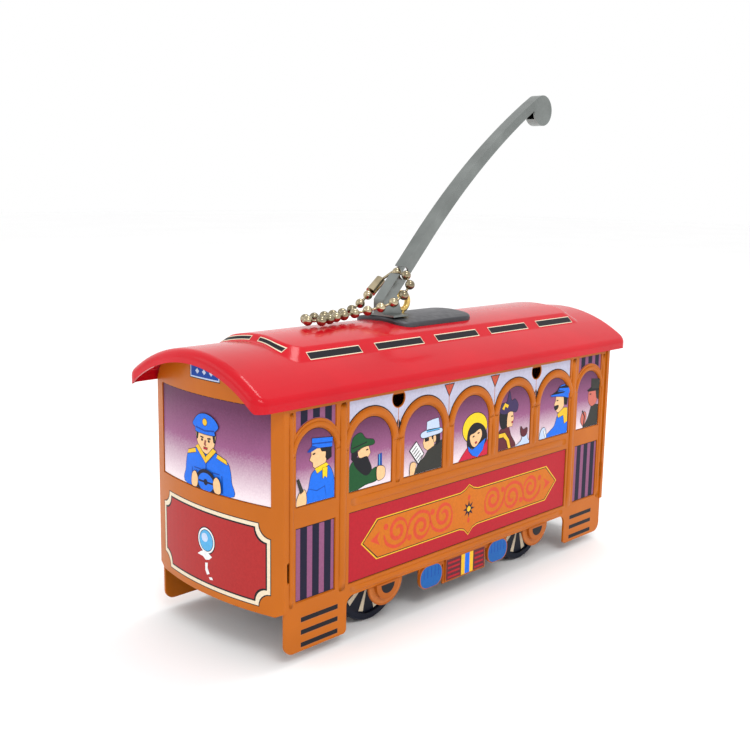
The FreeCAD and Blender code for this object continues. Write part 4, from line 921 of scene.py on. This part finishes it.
def make_spandrels(side, side_name):
    """Pale lavender over the middle arches, with a red mark between some of them."""
    radius = MIDDLE_HALF + ARCH_BAND
    for number in range(5):
        centre = MIDDLE_PITCH * (number - 2)
        for half in (-1, 1):
            edge = centre + half * (MIDDLE_PITCH / 2 - 0.1)
            slotted = abs(abs(edge) - SLOT_PLACE) < 1
            slot = (math.copysign(SLOT_PLACE, edge), SLOT_MIDDLE, SLOT_RADIUS) if slotted else None
            name = f"{side_name}_spandrel_{number + 1}_{'fore' if half < 0 else 'aft'}"
            art = side_print(name, side, slot)
            left, right = sorted((centre, max(-FIELD_END, min(FIELD_END, edge))))
            art.add(over_arch(left, right, centre, ARCH_SPRING, radius + 0.05), ink["black"])
            art.add(over_arch(left, right, centre, ARCH_SPRING, radius + 0.3), ink["lavender"])
            if not slotted and abs(edge) < MIDDLE_PITCH:
                tip = centre + half * MIDDLE_PITCH / 2 - half * 0.1
                away = -half
                art.add([(tip, 54.0), (tip, 50.9), (tip + away * 1.8, 54.0)], ink["black"])
                art.add([(tip, 53.8), (tip, 51.4), (tip + away * 1.4, 53.8)], ink["red_mark"])
            art.finish()


def make_bay_heads(side, side_name):
    """The stripes carried on over the end bays' arches."""
    spring = WINDOW_TOP - BAY_HALF
    for end in (-1, 1):
        art = side_print(f"{side_name}_bay_head_{'front' if end < 0 else 'rear'}", side)
        centre, radius = end * BAY_CENTRE, BAY_HALF + 1.95
        left, right = centre - STRIPES_HALF, centre + STRIPES_HALF
        art.add(over_arch(left, right, centre, spring, radius), ink["mauve"])
        for start in stripe_starts(left):
            stripe = over_arch(start, start + STRIPE, centre, spring, radius + 0.1)
            art.add(stripe, ink["navy"], 2)
        art.finish()


def make_step_slots(side, side_name):
    """Three black treads printed on each step, each in a paler tan rim that is a painted highlight along
    its edges.
    """
    for end in (-1, 1):
        art = side_print(f"{side_name}_treads_{'front' if end < 0 else 'rear'}", side)
        for top in (10.0, 7.2, 4.4):
            left, right = sorted((end * 44.5, end * 55.5))
            # the tan rim round each black tread, widest below it, is a painted highlight
            art.add(box(left, top - 1.35, right, top), ink["tan"], 1)
            art.add(box(left + 0.15, top - 1.15, right - 0.15, top - 0.1), ink["black"], 2)
        art.finish()


def add_bead(builder, line, side, width, height):
    """A half-round rib of tin along a line on a side panel, fading into the panel at its ends."""
    last = len(line) - 1
    rings = []
    for index, (u, v) in enumerate(line):
        before, after = line[max(index - 1, 0)], line[min(index + 1, last)]
        along = Vector((after[0] - before[0], after[1] - before[1])).normalized()
        rise = height * min(1.0, min(index, last - index) / 2)
        ring = []
        for number in range(9):
            turn = math.pi * number / 8
            across = width / 2 * math.cos(turn)
            out = SIDE_FACE - 0.03 + rise * math.sin(turn)
            place = (side * out, side * (u - along.y * across), v + along.x * across)
            ring.append(builder.verts.new(Vector(place) * MM))
        rings.append(ring)
    for first, second in zip(rings, rings[1:]):
        for a, b, c, d in zip(first, first[1:], second[1:], second):
            builder.faces.new((a, b, c, d)).smooth = True
        builder.faces.new((first[0], second[0], second[-1], first[-1]))
    builder.faces.new(rings[0])
    builder.faces.new(rings[-1][::-1])


def straight(start, end, points=9):
    """Evenly spaced points from start to end."""
    parts = [number / (points - 1) for number in range(points)]
    return [tuple(a + (b - a) * part for a, b in zip(start, end)) for part in parts]


def half_circle(centre, height, radius):
    turns = [math.pi * number / 28 for number in range(29)]
    return [(centre + radius * math.cos(turn), height + radius * math.sin(turn)) for turn in turns]


COLUMN, CORNER_RIB = 43.4, 58.0
SILL_RAIL, FOOT_RAIL, RIB_LOW, RIB_HIGH = 31.9, 11.9, 12.2, 54.6


def make_mouldings(side, side_name):
    """The pressed ribs: round the arches, up the mullions and columns, along the rails."""
    builder = bmesh.new()
    for number in range(-2, 3):
        arch_line = half_circle(MIDDLE_PITCH * number, ARCH_SPRING, MIDDLE_HALF + 1.0)
        add_bead(builder, arch_line, side, 1.7, 0.4)
    for end in (-1, 1):
        arch_line = half_circle(end * BAY_CENTRE, WINDOW_TOP - BAY_HALF, BAY_HALF + 0.7)
        add_bead(builder, arch_line, side, 1.2, 0.35)
        for step in (0.5, 1.5):
            u = end * step * MIDDLE_PITCH
            add_bead(builder, straight((u, SILL - 0.6), (u, ARCH_SPRING + 0.6)), side, 1.5, 0.4)
        for u, width, height in ((end * COLUMN, 2.0, 0.45), (end * CORNER_RIB, 1.2, 0.3)):
            add_bead(builder, straight((u, RIB_LOW), (u, RIB_HIGH), 21), side, width, height)
    for level, width, height in ((SILL_RAIL, 1.9, 0.35), (FOOT_RAIL, 1.4, 0.3)):
        rail = straight((-FIELD_END - 0.05, level), (FIELD_END + 0.05, level), 30)
        add_bead(builder, rail, side, width, height)
    bmesh.ops.recalc_face_normals(builder, faces=builder.faces[:])
    add_mesh(f"{side_name}_mouldings", builder, [orange_enamel], "tram")


for side, side_name in ((1, "right"), (-1, "left")):
    make_windows(side, side_name)
    make_stripes(side, side_name)
    make_dado(side, side_name)
    make_spandrels(side, side_name)
    make_bay_heads(side, side_name)
    make_step_slots(side, side_name)
    make_mouldings(side, side_name)


# ---------------------------------------------------------------- truck sides

AXLE, SILL_EDGE = 29.0, 10.2
TANKS = ((-17.4, -9.6), (8.4, 16.2))
BOX_BANDS = (
    (-8.0, -2.3, "maroon"), (-2.3, -0.9, "gold"), (-0.9, 0.9, "blue"), (0.9, 2.3, "gold"),
    (2.3, 6.8, "maroon"),
)
LOUVRES = ((-7.4, -2.9), (2.9, 6.4))


def hanging_arc(centre, level, across, down, points):
    """The lower half of an ellipse, closed along the top."""
    turns = [math.pi * (1 + number / points) for number in range(points + 1)]
    return [(centre + across * math.cos(turn), level + down * math.sin(turn)) for turn in turns]


def make_truck_print(side, side_name):
    """Blue tanks, a louvred box in bands of colour, and black axle boxes in their guards."""
    art = Print(
        f"{side_name}_truck_print", f"truck_side_{side_name}",
        lambda u, v: (side * 40.0, side * u, v), (-side, 0, 0), slot="truck_litho",
    )
    for ends in TANKS:
        left, right = sorted(side * end for end in ends)
        art.add(round_box(left + 0.05, 5.15, right - 0.05, 10.5, 2.4), ink["tank_blue"], 1)
        for step in range(1, 6):
            line = left + (right - left) * step / 6
            art.add(box(line - 0.12, 7.6, line + 0.12, SILL_EDGE), ink["deep_blue"], 2)
    for *ends, colour in BOX_BANDS:
        left, right = sorted(side * end for end in ends)
        art.add(box(left, 5.1, right, 10.3), ink[colour], 1)
    for ends in LOUVRES:
        left, right = sorted(side * end for end in ends)
        for row in range(4):
            art.add(box(left, 5.5 + 1.2 * row, right, 6.0 + 1.2 * row), ink["dado_red"], 2)
    for place in (-AXLE, AXLE):
        art.add(hanging_arc(place, SILL_EDGE, 5.2, 4.6, 16), ink["tan"], 1)
        art.add(hanging_arc(place, SILL_EDGE + 0.1, 2.2, 2.2, 12), ink["black"], 2)
    art.finish()


for side, side_name in ((1, "right"), (-1, "left")):
    make_truck_print(side, side_name)


# ---------------------------------------------------------------- end panels

SCREEN_HALF, SCREEN_LOW, SCREEN_HIGH = 18.8, 34.3, 55.2
FRAME_LOW, FRAME_HIGH, NOTCH, LAMP = 12.5, 30.8, 3.0, 23.3
SIGN_LOW, SIGN_HIGH, SIGN_HALF = 58.5, 61.9, 5.2


def notched(inset):
    """The lower panel's frame: a rectangle with its corners cut back in a curve."""
    left, low, high = -SCREEN_HALF + inset, FRAME_LOW + inset, FRAME_HIGH - inset
    outline = []
    corners = ((left, low, 0), (-left, low, 1), (-left, high, 2), (left, high, 3))
    for u, v, quarter in corners:
        for number in range(7):
            turn = math.pi / 2 * (1 + quarter - number / 6)
            outline.append((u + NOTCH * math.cos(turn), v + NOTCH * math.sin(turn)))
    return outline


def end_print(name, end):
    """Artwork on an end panel: u runs to the right as one looks at that end."""
    node = "front_panel" if end < 0 else "rear_panel"
    return Print(name, node, lambda u, v: (-end * u, end * 66.0, v), (0, -end, 0), step=2.0)


PAINT_CHIPS = [
    [
        (-2.0, 20.4), (-0.6, 21.0), (0.8, 20.6), (2.0, 20.0), (1.0, 19.2), (-0.2, 18.9),
        (-1.2, 19.5), (-3.2, 19.6),
    ],
    [(-0.4, 18.2), (0.5, 18.4), (0.4, 17.2), (1.1, 16.0), (0.2, 15.6), (-0.4, 16.6)],
    [(0.8, 15.2), (1.9, 15.4), (2.3, 14.9), (1.2, 14.7)],
]


def make_end(end, end_name):
    """Windscreen, framed lower panel with its lamp, and the plate over the windscreen."""
    screen = end_print(f"{end_name}_screen", end)
    edge = SCREEN_HALF - EDGE
    screen.add(box(-edge, SCREEN_LOW + EDGE, edge, SCREEN_HIGH - EDGE), ink["black"])
    screen.add(box(-edge + EDGE, SCREEN_LOW + 2 * EDGE, edge - EDGE, SCREEN_HIGH - 2 * EDGE), screen_dusk)
    uniformed_figure(inked(lambda outline, colour: screen.add(
        [(u, max(v, 2 * EDGE) + SCREEN_LOW) for u, v in outline], ink[colour]
    )), with_wheel=end < 0)
    screen.finish()

    lower = end_print(f"{end_name}_lower_panel", end)
    for inset, colour in ((0.0, "black"), (0.2, "cream"), (1.0, "black"), (1.35, "front_red")):
        lower.add(notched(inset), ink[colour])
    colours = ("black", "white", "black", "sky") if end < 0 else ("black", "cream", "black", "crimson")
    for radius, colour in zip((3.1, 2.85, 2.45, 2.3), colours):
        lower.add(ellipse(0.0, LAMP, radius, radius), ink[colour])
    glint = ink["pale_blue" if end < 0 else "red_mark"]
    lower.add(ellipse(-0.5, LAMP + 0.6, 1.1, 1.0), glint)
    if end < 0:
        for chip in PAINT_CHIPS:
            lower.add(chip, ink["white"], lower.layer)
    lower.finish()

    sign = end_print(f"{end_name}_sign", end)
    for inset, colour in ((0.0, "black"), (0.2, "pale_blue"), (0.5, "deep_blue")):
        half = SIGN_HALF - inset
        sign.add(box(-half, SIGN_LOW + inset, half, SIGN_HIGH - inset), ink[colour])
    level = (SIGN_LOW + SIGN_HIGH) / 2
    for u in (-2.4, 0.0, 2.4):
        diamond = [(u - 0.7, level), (u, level - 0.6), (u + 0.7, level), (u, level + 0.6)]
        sign.add(diamond, ink["pale_blue"], 4)
    sign.finish()


for end, end_name in ((-1, "front"), (1, "rear")):
    make_end(end, end_name)


# ---------------------------------------------------------------- clerestory and wheels

def add_roof_window(art, left, bottom, right, top):
    """A black window in a cream line, clear of the roof's curve."""
    for inset, colour, layer in ((0.0, "cream", 4), (0.16, "black", 6)):
        patch = box(left + inset, bottom + inset, right - inset, top - inset)
        art.add(patch, ink[colour], layer)


def make_roof_windows(side, side_name):
    art = Print(
        f"{side_name}_roof_windows", "roof_shell",
        lambda u, v: (side * 40.0, side * u, v), (-side, 0, 0), slot="red_enamel", step=4.0,
    )
    for number in range(5):
        centre = side * (2.95 + 20.7 * (number - 2))
        add_roof_window(art, centre - 7.9, 62.75, centre + 7.9, 64.25)
    art.finish()


ROOF_ARCH = 37.5


def make_roof_end_windows(end, end_name):
    art = Print(
        f"{end_name}_roof_windows", "roof_shell",
        lambda u, v: (-end * u, end * 90.0, v - ROOF_ARCH + math.sqrt(ROOF_ARCH**2 - u**2)),
        (0, -end, 0), slot="red_enamel", step=1.0,
    )
    for half in (-1, 1):
        left, right = sorted((half * 1.3, half * 10.2))
        add_roof_window(art, left, 65.7, right, 66.6)
    art.finish()


for side, side_name in ((1, "right"), (-1, "left")):
    make_roof_windows(side, side_name)
for end, end_name in ((-1, "front"), (1, "rear")):
    make_roof_end_windows(end, end_name)


def make_spokes(wheel, side, place, body):
    """Cream spokes printed on a wheel's outer face."""
    art = Print(
        f"{wheel}_spokes", wheel, lambda u, v: (side * 40.0, place + side * u, 10.0 + v),
        (-side, 0, 0), body=body, slot="wheel_litho",
    )
    spokes = 10
    for number in range(spokes):
        turn = 2 * math.pi * number / spokes
        along = Vector((math.cos(turn), math.sin(turn)))
        across = Vector((-along.y, along.x))
        corners = ((2.9, 0.28), (8.0, 0.75), (8.0, -0.75), (2.9, -0.28))
        art.add([tuple(along * far + across * off) for far, off in corners], ink["cream"], 1)
    art.finish()


for end, end_name in ((-1, "front"), (1, "rear")):
    for side, side_name in ((1, "right"), (-1, "left")):
        make_spokes(f"{end_name}_wheel_{side_name}", side, end * AXLE, f"{end_name}_wheelset")


# ---------------------------------------------------------------- floor and light

def add_floor():
    material, shader, place = node_material("paper_floor")
    cloud = add_noise(material, place, 6.0)
    tint = add_ramp(material, cloud, [(0.3, (0.98, 0.98, 0.98)), (0.7, (1.0, 1.0, 1.0))])
    material.node_tree.links.new(tint, shader.inputs["Base Color"])
    shader.inputs["Roughness"].default_value = 0.75
    builder = bmesh.new()
    bmesh.ops.create_grid(builder, x_segments=1, y_segments=1, size=3.0)
    mesh = bpy.data.meshes.new("floor")
    builder.to_mesh(mesh)
    builder.free()
    floor = bpy.data.objects.new("floor", mesh)
    mesh.materials.append(material)
    bpy.context.collection.objects.link(floor)


def add_light(name, place, aim, width, power):
    data = bpy.data.lights.new(name, "AREA")
    data.shape = "RECTANGLE"
    data.size = width
    data.size_y = width * 0.6
    data.energy = power
    light = bpy.data.objects.new(name, data)
    direction = Vector(aim) - Vector(place)
    light.location = place
    light.rotation_euler = direction.to_track_quat("-Z", "Y").to_euler()
    bpy.context.collection.objects.link(light)


def add_world():
    world = bpy.data.worlds.new("studio")
    world.use_nodes = True
    sky = world.node_tree.nodes["Background"]
    sky.inputs["Color"].default_value = (1.0, 1.0, 1.0, 1)
    sky.inputs["Strength"].default_value = 1.0
    bpy.context.scene.world = world


bpy.context.scene.view_settings.view_transform = "Standard"
add_floor()
add_world()
add_light("key_light", (0.5, -0.25, 0.6), (0, 0, 0.04), 0.3, 1.5)
add_light("fill_light", (-0.35, -0.6, 0.35), (0, 0, 0.04), 0.5, 0.4)
add_light("top_light", (0.0, 0.2, 0.8), (0, 0, 0.06), 0.3, 1.5)
